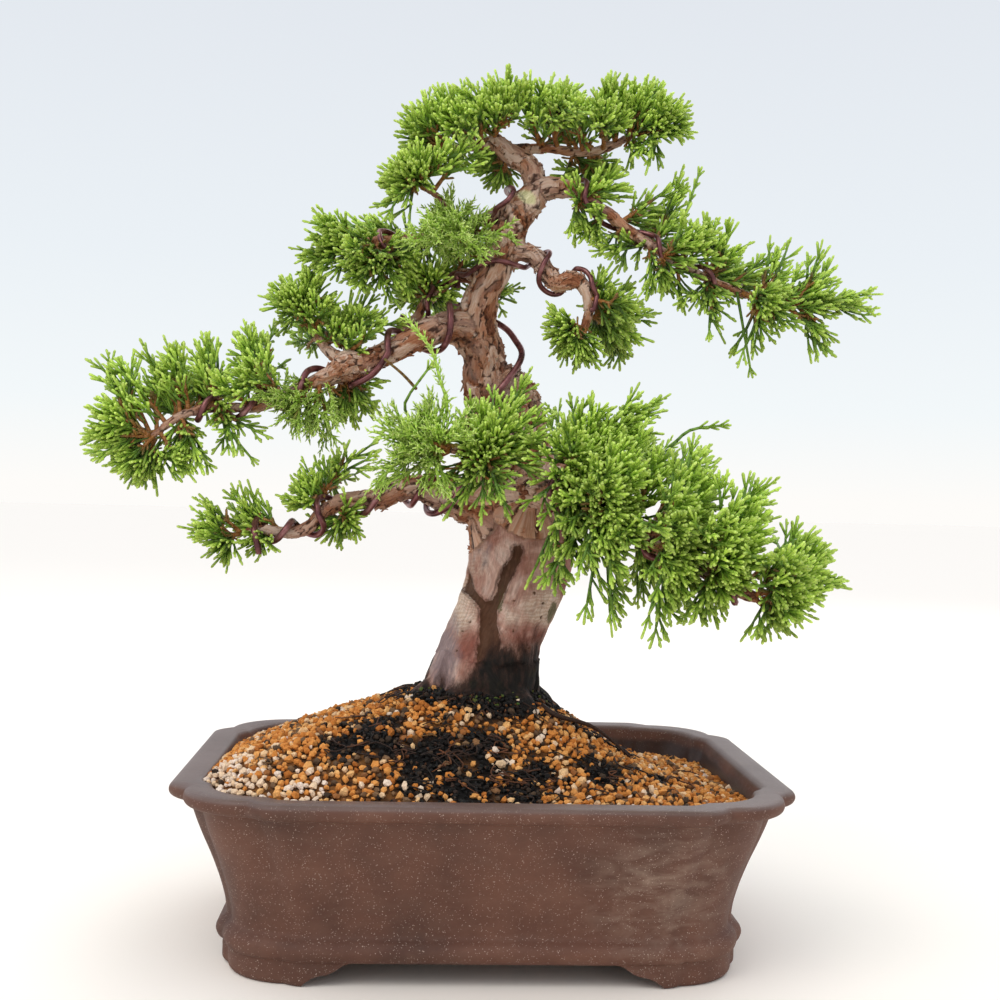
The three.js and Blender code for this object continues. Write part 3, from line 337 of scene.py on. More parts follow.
def scale_leaf(name, stops):
    """Juniper foliage: waxy scale leaves pressed to round threads, pale at the tips and dark inside, partly
    their own colour and partly painted shade; the shade value adds a random tone and painted light.
    """
    m, place = new_material(name)
    youth = node(m, "Attribute", attribute_name="youth", out="Fac")
    shade = node(m, "Attribute", attribute_name="shade", out="Fac")
    colour = node(m, "ValToRGB", [youth], stops=stops)
    tone = node(m, "MapRange", [shade, 0.0, 1.0, 0.6, 1.26])
    toned = node(m, "Mix", {0: 1.0, 6: colour, 7: tone}, **TIMES)
    # single scale leaves, about 1 mm long
    scales = node(m, "TexVoronoi", {"Vector": place, "Scale": 1000.0})
    edges = node(m, "MapRange", [scales, 0.2, 0.8, 1.12, 0.74])
    finished = node(m, "Mix", {0: 1.0, 6: toned, 7: edges}, **TIMES)
    wax = node(m, "MapRange", [shade, 0.0, 1.0, 0.58, 0.44])
    bump = node(m, "Bump", {"Strength": 0.35, "Distance": 0.0004, "Height": scales})
    plain = {"IOR": 1.42, "Subsurface Weight": 0.1, "Subsurface Radius": (0.0012, 0.002, 0.0006)}
    return finish_of(m, plain, Base_Color=finished, Roughness=wax, Normal=bump)


STONEWARE = stoneware()
GRAINS = clay_grains()
BED = soil_bed()
PEAT = peat()
BARK = bark()
WIRE = anodised_aluminium()
MESH_PLASTIC = moulded_mesh()
# the darkest greens, at the threads' feet inside the pads, stand partly for painted shade
LEAF = scale_leaf("juniper_scale_leaf", [
    (0.0, "#9a6430"), (0.1, "#8d6c3a"), (0.2, "#3f541b"), (0.42, "#5d8228"), (0.66, "#89ad39"),
    (0.88, "#b2cf50"), (1.0, "#cde27a")])
YOUNG_LEAF = scale_leaf("juniper_juvenile_leaf", [
    (0.0, "#9a6430"), (0.12, "#8a9a44"), (0.4, "#a3c94a"), (0.75, "#c2e066"), (1.0, "#def09a")])


# ================================================================ mesh tools
def mesh_from(bm, name):
    """Makes a bmesh into a mesh, and frees it."""
    mesh = bpy.data.meshes.new(name)
    bm.to_mesh(mesh)
    bm.free()
    return mesh


def object_from(bm, name):
    """Makes a bmesh into an object of the scene."""
    made = bpy.data.objects.new(name, mesh_from(bm, name))
    bpy.context.scene.collection.objects.link(made)
    return made


def bmesh_from(obj):
    """A bmesh of an object's mesh, in place of the object."""
    bm = bmesh.new()
    bm.from_mesh(obj.data)
    bpy.data.objects.remove(obj)
    return bm


def piece_from(bm, name, material, smooth=True):
    """Makes a bmesh in millimetres into a finished piece in the row's frame."""
    bmesh.ops.transform(bm, matrix=TO_ROW, verts=bm.verts)
    made = object_from(bm, name)
    made.data.materials.append(material)
    made.data.polygons.foreach_set("use_smooth", [smooth] * len(made.data.polygons))
    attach(made, "root")
    return made


def bake_modifiers(obj):
    """Applies an object's modifiers to its mesh."""
    bpy.context.view_layer.update()
    graph = bpy.context.evaluated_depsgraph_get()
    baked = bpy.data.meshes.new_from_object(obj.evaluated_get(graph))
    obj.modifiers.clear()
    obj.data = baked


def ready_shape(bm):
    """A small mesh that is made once and then stamped many times."""
    put_in_order(bm)
    return mesh_from(bm, "ready_shape")


def put_in_order(bm):
    """Turns faces outward, and sorts corners and faces by place, so that every run gives one order."""
    bmesh.ops.recalc_face_normals(bm, faces=bm.faces)
    for rank, v in enumerate(sorted(bm.verts, key=lambda v: v.co[:])):
        v.index = rank
    bm.verts.sort()
    for rank, face in enumerate(sorted(bm.faces, key=lambda f: sorted(v.index for v in f.verts))):
        face.index = rank
    bm.faces.sort()


def stamp(bm, shape, place):
    """Adds a copy of a ready shape at a place, and gives its corners."""
    first = len(bm.verts)
    bm.from_mesh(shape)
    bm.verts.ensure_lookup_table()
    fresh = bm.verts[first:]
    for v in fresh:
        v.co = place @ v.co
    return fresh


def aimed(place, along, lean=None):
    """A frame at a place, its Z along a direction and its X as near to lean as can be."""
    z = along.normalized()
    x = Vector(lean) if lean is not None else Vector((0, 0, 1)) if abs(z.z) < 0.9 else Vector((1, 0, 0))
    x = (x - z * x.dot(z)).normalized()
    y = z.cross(x)
    return Matrix.Translation(place) @ Matrix((x, y, z)).transposed().to_4x4()


def turned_off(along, angle, turn):
    """A direction at an angle to another, at a turn round it."""
    out = Vector((math.sin(angle) * math.cos(turn), math.sin(angle) * math.sin(turn), math.cos(angle)))
    return aimed(Vector(), along).to_3x3() @ out


def frames_along(stations):
    """A frame at each (place, radius) of a run, carried on without twist."""
    lean = None
    frames = []
    for i, station in enumerate(stations):
        ahead = stations[min(i + 1, len(stations) - 1)][0] - stations[max(i - 1, 0)][0]
        here = aimed(station[0], ahead, lean)
        lean = here.to_3x3().col[0].copy()
        frames.append(here)
    return frames


def extruded(bm, edges):
    """Extrudes a ring of edges, and gives its new corners and edges."""
    grown = bmesh.ops.extrude_edge_only(bm, edges=edges)["geom"]
    corners = [g for g in grown if isinstance(g, bmesh.types.BMVert)]
    fresh = set(corners)
    return corners, [g for g in grown if isinstance(g, bmesh.types.BMEdge) and fresh.issuperset(g.verts)]


def sweep(bm, stations, sides):
    """Extrudes a ring through stations of (place, radius), without twist, and closes both ends."""
    last = None
    for (_, radius), here in zip(stations, frames_along(stations)):
        here = here @ Matrix.Diagonal((radius, radius, radius, 1))
        if last is None:
            ring = bmesh.ops.create_circle(bm, segments=sides, radius=1, matrix=here)["verts"]
            edges = list(dict.fromkeys(e for v in ring for e in v.link_edges))
            bmesh.ops.contextual_create(bm, geom=edges)
        else:
            ring, edges = extruded(bm, edges)
            bmesh.ops.transform(bm, matrix=here @ last.inverted(), verts=ring)
        last = here
    bmesh.ops.contextual_create(bm, geom=edges)


def arc_point(a, b, c, t):
    """A point, at t from 0 to 1, on the arc from a to c that leans towards b."""
    return a * (1 - t) ** 2 + b * 2 * t * (1 - t) + c * t * t


def curve_point(a, b, c, d, t):
    """A point between b and c, at t from 0 to 1, on a smooth curve through four places."""
    bend = (a * 2 - b * 5 + c * 4 - d) * t * t
    return (b * 2 + (c - a) * t + bend + (b * 3 - a - c * 3 + d) * t ** 3) * 0.5


def padded(points):
    """The places of a run of (x, y, z, ...), drawn out by one more at each end."""
    places = [Vector(p[:3]) for p in points]
    return [places[0] * 2 - places[1]] + places + [places[-1] * 2 - places[-2]]


def curve_through(points, steps):
    """A smooth run through points of (x, y, z, ...), with the other values blended straight."""
    places = padded(points)
    out = []
    for i in range(len(points) - 1):
        for k in range(steps + (i == len(points) - 2)):
            t = k / steps
            values = [u + (v - u) * t for u, v in zip(points[i][3:], points[i + 1][3:])]
            out.append((curve_point(*places[i:i + 4], t), *values))
    return out


def tree_of(places):
    """A tree that finds which of some places lie nearest."""
    tree = kdtree.KDTree(len(places))
    for i, place in enumerate(places):
        tree.insert(place, i)
    tree.balance()
    return tree


def float_layers(bm, *names):
    """Layers of one number for every corner, which the materials read by their names."""
    return [bm.verts.layers.float.new(name) for name in names]


def smoothly(value, low, high):
    """From 0 at low to 1 at high, eased at both ends."""
    t = min(max((value - low) / (high - low), 0.0), 1.0)
    return t * t * (3 - 2 * t)


# ================================================================ pot
RIM_HALF_WIDTH = 122.5
RIM_HALF_DEPTH = 103.0
FOOT_INSET = 21.0
FOOT_HEIGHT = 9.0
FOOT_WALL = 10.0
FLOOR_TOP = 18.0
# inset from the rim's outline, height, and how round the turn is there: up the outside, and down
# the inside
POT_OUTSIDE = [
    (22, 0, 0), (21, 1.4, 1), (21, 9, 0.6), (19.4, 9.9, 1), (18.2, 13, 2.5), (19, 16, 2.2),
    (22.2, 18.2, 1.4), (21.6, 25, 4), (19.4, 33, 4), (16.2, 42, 5), (12.8, 50, 5), (9.8, 58, 4),
    (8, 64.4, 0.7), (4.2, 65, 1.6), (1, 66.4, 2), (0, 68.8, 2), (1, 71.2, 1.6), (4, 72, 2)]
POT_INSIDE = [
    (11.4, 71.8, 1.6), (13, 70.4, 1.6), (14.8, 64, 4), (17.8, 55, 5), (23, 40, 6), (27, 28, 5), (29, 18, 0)]
LIP_FROM = 69.5
# where a panel ends, how far in and along the crease lies, and how far in the lobe's middle
CORNER_AT_FOOT = (33.0, 3.0, 26.0, 10.3)
CORNER_AT_RIM = (44.0, 7.5, 33.0, 15.0)
LOBE_STEPS = 12
EASE_STEPS = 5
FRONT_FOOT_REACH = 68.2
SIDE_FOOT_REACH = 47.0
FOOT_OGEE = [(0, 0), (1.1, 1.3), (2.4, 2.2), (3.7, 3.1), (5.2, 3.7), (7.4, 4.3), (9.6, 4.7), (11.8, 5.6),
             (13.6, 6.8), (15.6, 8.2), (18, 9)]
SOFT_EDGE = 0.5
DRAIN_X = 45.0
DRAIN_RADIUS = 8.0


def rounded(profile):
    """A profile with each turn eased by its own roundness."""
    out = [profile[0][:2]]
    for before, here, after in zip(profile, profile[1:], profile[2:]):
        a, b, c = (Vector(p[:2]) for p in (before, here, after))
        inwards, outwards = a - b, c - b
        start = b + inwards.normalized() * min(here[2], inwards.length * 0.45)
        end = b + outwards.normalized() * min(here[2], outwards.length * 0.45)
        out.extend(tuple(arc_point(start, b, end, k / 3)) for k in range(4))
    out.append(profile[-1][:2])
    return out


def pot_outline(inset):
    """The pot's outline at an inset from its rim: each corner a shallow lobe between two creases."""
    half_width = RIM_HALF_WIDTH - inset
    half_depth = RIM_HALF_DEPTH - inset
    flare = min(max(1 - inset / FOOT_INSET, 0), 1)
    panel_end, crease_in, crease_at, diagonal = (
        foot + (rim - foot) * flare for foot, rim in zip(CORNER_AT_FOOT, CORNER_AT_RIM))
    centre = ((2 * diagonal ** 2 - crease_in ** 2 - crease_at ** 2)
              / (4 * diagonal - 2 * (crease_in + crease_at)))
    radius = math.sqrt(2) * (centre - diagonal)
    first = math.atan2(centre - crease_at, centre - crease_in)
    knee = crease_at + 0.55 * (panel_end - crease_at)
    corner = [(0, panel_end + 5)]
    for k in range(EASE_STEPS):
        t = k / EASE_STEPS
        corner.append((crease_in * t * t, arc_point(panel_end, knee, crease_at, t)))
    lobe = []
    for k in range(LOBE_STEPS + 1):
        turn = first + (TURN / 4 - 2 * first) * k / LOBE_STEPS
        lobe.append((centre - radius * math.cos(turn), centre - radius * math.sin(turn)))
    corner = corner + lobe + [(y, x) for x, y in reversed(corner)]
    points = []
    for q, (right, back) in enumerate(((1, 1), (-1, 1), (-1, -1), (1, -1))):
        run = [(POT_X + right * (half_width - x), back * (half_depth - y)) for x, y in corner]
        points.extend(reversed(run) if q % 2 else run)
    return points


def loop_of(bm, points):
    """A closed loop through some points, as its corners and edges."""
    verts = [bm.verts.new(p) for p in points]
    edges = [bm.edges.new((a, b)) for a, b in zip(verts, verts[1:] + verts[:1])]
    return verts, edges


def lofted(loops):
    """A closed skin over loops of equal numbers of points, each loop extruded from the last."""
    bm = bmesh.new()
    verts, edges = loop_of(bm, loops[0])
    bmesh.ops.contextual_create(bm, geom=edges)
    for points in loops[1:]:
        grown, edges = extruded(bm, edges)
        fresh = set(grown)
        verts = [next(e.other_vert(v) for e in v.link_edges if e.other_vert(v) in fresh) for v in verts]
        for v, p in zip(verts, points):
            v.co = p
    bmesh.ops.contextual_create(bm, geom=edges)
    put_in_order(bm)
    return bm


def carve(obj, cutters):
    """Cuts some objects out of another, and removes them."""
    for cutter in cutters:
        cut = obj.modifiers.new("cut", "BOOLEAN")
        cut.operation = "DIFFERENCE"
        cut.solver = "EXACT"
        cut.object = cutter
        bake_modifiers(obj)
        bpy.data.objects.remove(cutter)


def foot_gap(reach, depth, across):
    """The clear space between two feet, an ogee at each end."""
    left = [(-reach + x, z) for x, z in FOOT_OGEE]
    outline = [(-reach, -1)] + left + [(-x, z) for x, z in reversed(left)] + [(reach, -1)]
    bm = bmesh.new()
    _, edges = loop_of(bm, [(x, -depth, z) for x, z in outline])
    face = bmesh.ops.contextual_create(bm, geom=edges)["faces"]
    grown = bmesh.ops.extrude_face_region(bm, geom=face)["geom"]
    back = [g for g in grown if isinstance(g, bmesh.types.BMVert)]
    bmesh.ops.translate(bm, vec=(0, 2 * depth, 0), verts=back)
    if across:
        bmesh.ops.rotate(bm, matrix=Matrix.Rotation(TURN / 4, 3, "Z"), verts=bm.verts)
    bmesh.ops.translate(bm, vec=(POT_X, 0, 0), verts=bm.verts)
    put_in_order(bm)
    return object_from(bm, "foot_gap")


def make_pot():
    """The fired pot: a lofted body, cut free between its feet, with soft edges below."""
    profile = rounded(POT_OUTSIDE + POT_INSIDE)
    skin = lofted([[(x, y, height) for x, y in pot_outline(inset)] for inset, height in profile])
    body = object_from(skin, "pot_body")
    inside = pot_outline(POT_OUTSIDE[1][0] + FOOT_WALL)
    recess = lofted([[(x, y, z) for x, y in inside] for z in (-1, FOOT_HEIGHT)])
    cutters = [object_from(recess, "recess"), foot_gap(FRONT_FOOT_REACH, RIM_HALF_DEPTH, False),
               foot_gap(SIDE_FOOT_REACH, RIM_HALF_WIDTH, True)]
    for x in (POT_X - DRAIN_X, POT_X + DRAIN_X):
        bm = bmesh.new()
        bmesh.ops.create_cone(bm, cap_ends=True, segments=40, radius1=DRAIN_RADIUS, radius2=DRAIN_RADIUS,
                              depth=2 * FLOOR_TOP, matrix=Matrix.Translation((x, 0, FLOOR_TOP)))
        cutters.append(object_from(bm, "drain"))
    carve(body, cutters)
    bm = bmesh_from(body)
    put_in_order(bm)
    count = len(bm.verts)
    bm.edges.sort(key=lambda e: sum(v.index for v in e.verts) + min(v.index for v in e.verts) / count)
    sharp = [e for e in bm.edges if len(e.link_faces) == 2 and e.calc_face_angle(0) > math.radians(50)
             and e.calc_length() > 0.4 and max(v.co.z for v in e.verts) < FOOT_HEIGHT + 0.1]
    bmesh.ops.bevel(bm, geom=sharp, offset=SOFT_EDGE, segments=2, profile=0.5, affect="EDGES", material=-1,
                    clamp_overlap=True)
    lip, inner = float_layers(bm, "lip", "inside")
    bm.normal_update()
    for v in bm.verts:
        # the lip's mask is strongest on upward faces, where the material paints its grey sheen
        v[lip] = smoothly(v.co.z, LIP_FROM, LIP_FROM + 1.5) * (0.35 + 0.65 * smoothly(v.normal.z, 0.1, 0.7))
        inwards = v.normal.dot(Vector((v.co.x - POT_X, v.co.y, 0))) < 0 and v.co.z > FLOOR_TOP + 1
        v[inner] = smoothly(v.co.z, LIP_FROM + 1.5, LIP_FROM - 9) if inwards else 0.0
    pot = piece_from(bm, "stoneware_pot", STONEWARE)
    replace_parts(pot, "pot")
    pot.data.set_sharp_from_angle(angle=math.radians(38))


def inset_at(height):
    """How far in from the rim's outline the pot's inside wall lies at a height."""
    for a, b in zip(POT_INSIDE, POT_INSIDE[1:]):
        if b[1] <= height <= a[1]:
            return b[0] + (height - b[1]) / (a[1] - b[1]) * (a[0] - b[0])
    return POT_INSIDE[0][0]


# ================================================================ wood and wires, as in the solids
# each branch runs through points of (x, y, z, radius)
BRANCHES = {
    "trunk": [
        (1, -2, 64, 15), (2, -2, 76, 24), (2, -2, 91, 26), (2, -2, 101, 24.5), (4, -2, 114, 21.8),
        (8, -1, 127, 20.6), (14, 0, 142, 21.4), (17, 2, 157, 22), (16, 4, 172, 21.5), (14, 6, 187, 20),
        (11, 8, 204, 19), (10, 9, 220, 17), (12, 9, 232, 13), (15, 9, 237, 8.5)],
    "leader": [
        (8, 9, 209, 13), (3, 8, 225, 11.5), (0, 7, 237, 9.6), (-1, 6, 247, 9.2), (-5, 4, 255, 10),
        (-4, 2, 264, 8.2), (-1, 1, 273, 7), (3, 0, 281, 6.9), (6, 0, 290, 7.6), (8, -1, 298, 8),
        (11, -2, 304, 7.4), (16, -2, 310, 6.8), (21, -1, 316, 5.6)],
    "knob": [(13, -3, 302, 6.6), (9, -5, 307, 6), (8, -6, 309, 4.4)],
    "apex": [(20, -1, 315, 5.4), (19, 1, 322, 5), (16, 3, 328, 4.8), (9, 4, 332, 4.6), (4, 4, 336, 4),
             (0, 4, 340, 3)],
    "apex_left": [(2, 5, 338, 3), (-5, 5, 336, 2.2), (-12, 4, 334, 1.8), (-19, 3, 334, 1.4)],
    "apex_right": [
        (8, 6, 334, 3), (18, 12, 337, 2.4), (28, 15, 338, 2.1), (39, 15, 337, 2.2), (49, 13, 338, 2),
        (58, 11, 342, 1.8), (67, 8, 347, 1.4)],
    "upper_right": [
        (19, -1, 315, 5.6), (25, -3, 317, 4.7), (31, -4, 317, 4.2), (37, -6, 315, 3.8), (43, -8, 310, 3.1),
        (50, -9, 306, 2.8), (57, -10, 300, 2.6), (66, -11, 294, 2.4), (74, -12, 289, 2.2),
        (88, -12, 281, 2), (102, -10, 276, 1.8), (115, -8, 272, 1.7), (128, -6, 270, 1.4)],
    "right_mid": [
        (11, 0, 290, 4), (19, -3, 288, 3.8), (24, -5, 282, 3.6), (29, -7, 276, 3.8), (35, -8, 277, 4),
        (39, -9, 276, 3.2), (42, -10, 271, 2.5), (43, -9, 264, 2.2), (41, -8, 256, 1.7)],
    "left_main": [
        (-5, 4, 255, 8.6), (-13, -1, 257, 7), (-22, -5, 254, 5.9), (-32, -8, 249, 5.4), (-43, -10, 243, 5),
        (-52, -12, 238, 5), (-59, -13, 237, 6.2), (-65, -14, 233, 4), (-74, -15, 229, 2.8),
        (-85, -17, 223, 2.5), (-94, -18, 219, 2.3), (-105, -19, 218, 2.2), (-117, -21, 217, 2.1),
        (-127, -22, 213, 1.9), (-137, -23, 205, 1.5)],
    "left_upper_twig": [(-60, -11, 239, 3.4), (-67, -4, 244, 2.4), (-73, 2, 251, 1.8), (-79, 4, 259, 1.3)],
    "mid_left": [
        (-1, 4, 277, 4), (-8, 10, 280, 3.2), (-15, 12, 279, 2.8), (-21, 11, 272, 2.4), (-27, 9, 267, 2.2),
        (-30, 7, 261, 2.1), (-34, 5, 258, 1.9), (-39, 3, 255, 1.5)],
    "upper_left": [
        (9, 0, 304, 5), (2, 4, 305, 3.2), (-5, 7, 303, 2.6), (-14, 9, 299, 2.4), (-23, 9, 297, 2.3),
        (-33, 8, 295, 2.2), (-45, 7, 294, 1.9), (-54, 6, 293, 1.5)],
    "upper_left_twig": [(-11, 9, 300, 2.2), (-17, 2, 306, 1.8), (-23, -3, 312, 1.5), (-30, -5, 315, 1.2)],
    "lower_left": [
        (-1, 5, 180, 9), (-9, 0, 181, 7.4), (-16, -3, 183, 6.6), (-23, -5, 186, 5.8), (-31, -7, 187, 5.2),
        (-37, -8, 185, 4.7), (-44, -9, 182, 4.6), (-53, -10, 181, 4), (-62, -12, 179, 3.5),
        (-68, -13, 175, 3), (-72, -14, 170, 2.8), (-78, -15, 167, 2.7), (-85, -16, 167, 2.4),
        (-93, -17, 168, 2), (-100, -18, 166, 1.4)],
    "lower_right": [
        (17, 0, 186, 9), (22, -20, 187, 7.4), (29, -34, 186, 6.2), (37, -46, 184, 5.2), (48, -56, 179, 4.8),
        (63, -65, 170, 4.5), (76, -72, 163, 4.2), (87, -77, 156, 3.8), (95, -80, 151, 3), (102, -82, 148, 2)],
    "front": [(11, 0, 199, 7), (6, -20, 200, 4.6), (0, -34, 201, 3.4), (-8, -44, 202, 2.4),
              (-15, -50, 202, 1.7)],
    "back": [(13, 8, 189, 8), (22, 32, 193, 5.6), (35, 56, 197, 4.4), (52, 80, 200, 3.4),
             (69, 100, 202, 2.2)],
    "back_high": [(0, 10, 238, 6), (-2, 30, 247, 3.8), (-9, 48, 254, 2.6), (-19, 62, 259, 1.8)],
}
ROOTS = [
    [(-14, -6, 101, 9), (-27, -10, 94, 6.5), (-38, -13, 87, 4.5), (-46, -15, 80, 2.5)],
    [(-8, -16, 100, 8), (-16, -28, 92, 5.5), (-24, -38, 84, 3)],
    [(12, -16, 100, 8), (20, -28, 91, 5.5), (27, -36, 82, 3)],
    [(20, 0, 100, 7), (31, 2, 91, 5), (40, 3, 81, 3)],
    [(10, 16, 100, 8), (16, 28, 92, 5.5), (20, 38, 82, 3)],
    [(-12, 14, 100, 8), (-22, 24, 92, 5), (-30, 32, 83, 3)],
]


def place_on(name, index):
    """Place, radius and direction on a branch, counted in its points."""
    points = BRANCHES[name]
    index = min(max(index, 0), len(points) - 1)
    low = min(int(index), len(points) - 2)
    part = index - low
    span = padded(points)[low:low + 4]
    along = curve_point(*span, min(part + 0.01, 1.0)) - curve_point(*span, max(part - 0.01, 0.0))
    radius = points[low][3] + (points[low + 1][3] - points[low][3]) * part
    return curve_point(*span, part), radius, along.normalized()


THICK_WIRE = 1.4
THIN_WIRE = 1.15
WIRE_GAP = 0.35
WIRE_LIFT = 1.1
WIRE_STEP_DEGREES = 15.0
WIRE_SIDES = 12


def wound(name, knots, wire):
    """Wire round a branch through knots of (place on the branch, angle): 0 on top, 90 on the near side."""
    points = []
    for k, ((from_place, from_angle), (to_place, to_angle)) in enumerate(zip(knots, knots[1:])):
        steps = max(1, round(abs(to_angle - from_angle) / WIRE_STEP_DEGREES))
        for i in range(0 if k == 0 else 1, steps + 1):
            share = i / steps
            point, radius, along = place_on(name, from_place + (to_place - from_place) * share)
            up = (Vector((0, 0, 1)) - along * along.z).normalized()
            near = along.cross(up) * (-1 if along.x < 0 else 1)
            turn = math.radians(from_angle + (to_angle - from_angle) * share)
            reach = (radius + wire + WIRE_GAP) * WIRE_LIFT
            points.append(tuple(point + up * math.cos(turn) * reach + near * math.sin(turn) * reach))
    return points


WIRES = {
    "wire_left_main": (THICK_WIRE, [
        [(-3, -6.8, 219), (2, -9, 225), (7, -9, 231), (11, -6.5, 236.5), (14.5, -2.8, 242), (15.5, 1.5, 247),
         (13, 5.5, 252), (9.5, 9.5, 257), (4, 14.5, 261), (-3, 15.5, 264), (-9, 13.5, 266.5),
         (-14, 8.5, 267.5), (-16, 3.5, 267)],
        ("left_main", [(1.3, 20), (2.2, 180), (3.5, 360), (4, 450), (5.8, 540), (7.8, 720), (9, 900),
                       (9.9, 1080), (10.9, 1260), (11.6, 1440), (12.3, 1610)])]),
    "wire_middle": (THIN_WIRE, [
        ("right_mid", [(6.95, 525), (6.2, 415), (5.2, 370), (4.4, 340), (3.6, 270), (2.7, 180), (2.1, 90),
                       (1.5, 0), (1, -90), (0.8, -150)]),
        [(15.5, -3.5, 282.4), (12.5, -6.5, 282.6), (7.5, -9.2, 283.5), (2, -9.4, 284), (-3.5, -6.8, 282.5),
         (-7, -2, 280.5), (-9.5, 2.5, 279.3)],
        ("mid_left", [(1.5, 90), (2.3, 270), (3.2, 400), (4.4, 460), (5.4, 600), (6.6, 800)])]),
    "wire_upper": (THIN_WIRE, [
        [(-42, 1, 284.5), (-43, 0.5, 288), (-46, 1, 292)],
        ("upper_left", [(6.2, 750), (5.4, 640), (4.6, 540), (3.6, 420), (2.8, 270), (1.7, 80)]),
        [(1, -6.5, 304), (2.5, -10.5, 306), (7, -13.2, 309), (9.5, -11.5, 313.5), (8, -6.5, 315.8),
         (7, 0, 315.8), (9, 6, 315.2), (14, 9.5, 315.5), (21, 9.5, 317), (27, 6.5, 318.5), (30, 3.4, 318.5)],
        ("upper_right", [(2.3, -70), (3.1, 0), (3.7, 90), (4.9, 180), (7.3, 360), (7.8, 450), (8.3, 540),
                         (9.1, 720), (9.8, 900)])]),
    "wire_lower_left": (THICK_WIRE, [
        ("lower_left", [(1.3, -60), (1.9, 90), (2.4, 180), (3, 360), (3.6, 450), (4.2, 540), (5.4, 720),
                        (7, 900), (8.6, 1080), (9.3, 1170), (9.9, 1260), (11.2, 1440), (12.4, 1620),
                        (13.1, 1800)]),
        [(-94.5, -23.3, 167.5), (-93, -24.6, 163), (-92, -24.6, 158)]]),
    "wire_lower_right": (THICK_WIRE, [
        ("lower_right", [(1, -150), (2.2, 0), (3.2, 360), (4.2, 660), (5.2, 900), (6.4, 1170), (7.4, 1440),
                         (8.1, 1600)])]),
}


def make_wire(name):
    """One length of wire, through its free points and its turns round the branches."""
    radius, parts = WIRES[name]
    points = []
    for part in parts:
        points += part if isinstance(part, list) else wound(part[0], part[1], radius)
    run = [place for (place,) in curve_through(points, 3)]
    stations = [(place, radius) for place in run]
    stations[0] = (run[0], radius * 0.8)
    stations[-1] = (run[-1], radius * 0.8)
    bm = bmesh.new()
    sweep(bm, stations, WIRE_SIDES)
    put_in_order(bm)
    wire = piece_from(bm, name + "_anodised", WIRE)
    wire.data.set_sharp_from_angle(angle=math.radians(50))
    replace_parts(wire, name)


# ---------------------------------------------------------------- bark
TRUNK_SIDES = 24
BRANCH_SIDES = 14
ROOT_SIDES = 12
WOOD_VOXEL = 0.9
PLATE_WIDTH = 4.4  # of a bark plate, in millimetres; it is a little over twice as long
GROOVE_EDGE = 0.9
# the sunken strip of the lower trunk, as arms of (x, z) on its front with half widths and depth
STRIP = [
    ([(14.5, 162), (13.5, 158.2), (9.5, 151), (7.2, 143.5), (4.4, 137.6)], 2.1, 2.1, 2.2),
    ([(-7.2, 152), (-6.3, 149), (-5, 144), (-0.7, 139.6), (2.7, 136.7)], 1.4, 1.9, 2.2),
    ([(2.8, 137.5), (3.1, 124.2), (2.9, 108)], 3.4, 5.4, 1.7),
]
# small knots on its front, as (x, z, radius)
KNOTS = [(13.5, 140.7, 1.4), (21.8, 144.2, 1.3), (25.3, 140.1, 1.1), (24.6, 134.2, 1.3), (10.5, 129.4, 0.9),
         (13, 128.6, 1.0), (-4.6, 131.5, 1.3), (-7.4, 127.3, 1.1), (-9.5, 119, 1.0), (19, 121, 1.2)]
# stains of its front, as (x, z, half width, half height, strength)
CREAM = [(-7, 137, 5, 12, 0.85), (25, 138, 9, 9, 0.85), (14, 134, 6, 5, 0.6), (-3, 158, 5, 8, 0.4)]
RUST = [(-4, 121, 5, 9, 0.8), (20.5, 150, 3.4, 5, 0.65), (18.5, 144, 5, 4, 0.5), (16, 156, 6, 7, 0.4),
        (18, 127, 9, 6, 0.7), (1, 166, 6, 6, 0.4)]
MOSS = [(7.6, 141, 1.7, 8, 0.62), (31, 134, 2.4, 6, 0.6), (25, 110, 7, 4, 0.6), (4, 106, 9, 3, 0.5)]
GREY = [(-15, 115, 6, 14, 0.85), (-12, 130, 3, 9, 0.5), (0, 160, 7, 6, 0.3)]
# the height under which the trunk is black from damp: at its left root, and at its middle and right
BLACK_BELOW = (109.0, 126.0)
# the heights between which its smooth skin gives way to flaky bark
BARK_FROM = (182, 212)
THIN_BRANCH = 5.0  # thinner branches have smaller plates
FLAKE_BRANCH = 3.2  # and branches thinner than this bear no loose flakes
SCAR = Vector((15.4, -7.5, 311.5))
SCAR_AXIS = Vector((0.84, 0, -0.54))
SCAR_REACH = (4.6, 3.0)
SCAR_SPAN = 8
KNOB = Vector((11.7, -8.5, 303.2))
KNOB_SPAN = 7
# flakes of bark, and the ragged places that most of them stand on
FLAKES = 1250
STUMP = Vector((15, 6, 232))
STUMP_SPAN = 16
BULGE = Vector((-56, -12, 238))
RAGGED = Vector((33, -7, 278))


def distance_to_run(x, z, run):
    """How far a place lies from a run of points, and how far along the run."""
    best = (1e9, 0.0)
    at = Vector((x, z))
    for i, (a, b) in enumerate(zip(run, run[1:])):
        a, b = Vector(a), Vector(b)
        along = b - a
        share = min(max((at - a).dot(along) / along.length_squared, 0), 1)
        best = min(best, ((at - a - along * share).length, (i + share) / (len(run) - 1)))
    return best


def stained(blots, x, z):
    """The strongest of some oval stains at a place."""
    best = 0.0
    for middle_x, middle_z, wide, high, strength in blots:
        away = math.hypot((x - middle_x) / wide, (z - middle_z) / high)
        best = max(best, strength * smoothly(away, 1.5, 0.6))
    return best


def wood_stations():
    """Frames along every branch and root, with a tree to find the nearest."""
    stations = []
    runs = [(name, curve_through(points, 6)) for name, points in BRANCHES.items()]
    runs += [("root", curve_through(points, 6)) for points in ROOTS]
    for name, run in runs:
        length = 0.0
        for i, ((place, radius), here) in enumerate(zip(run, frames_along(run))):
            if i:
                length += (place - run[i - 1][0]).length
            stations.append((place, radius, here.to_3x3(), length, name))
    return stations, tree_of([station[0] for station in stations])


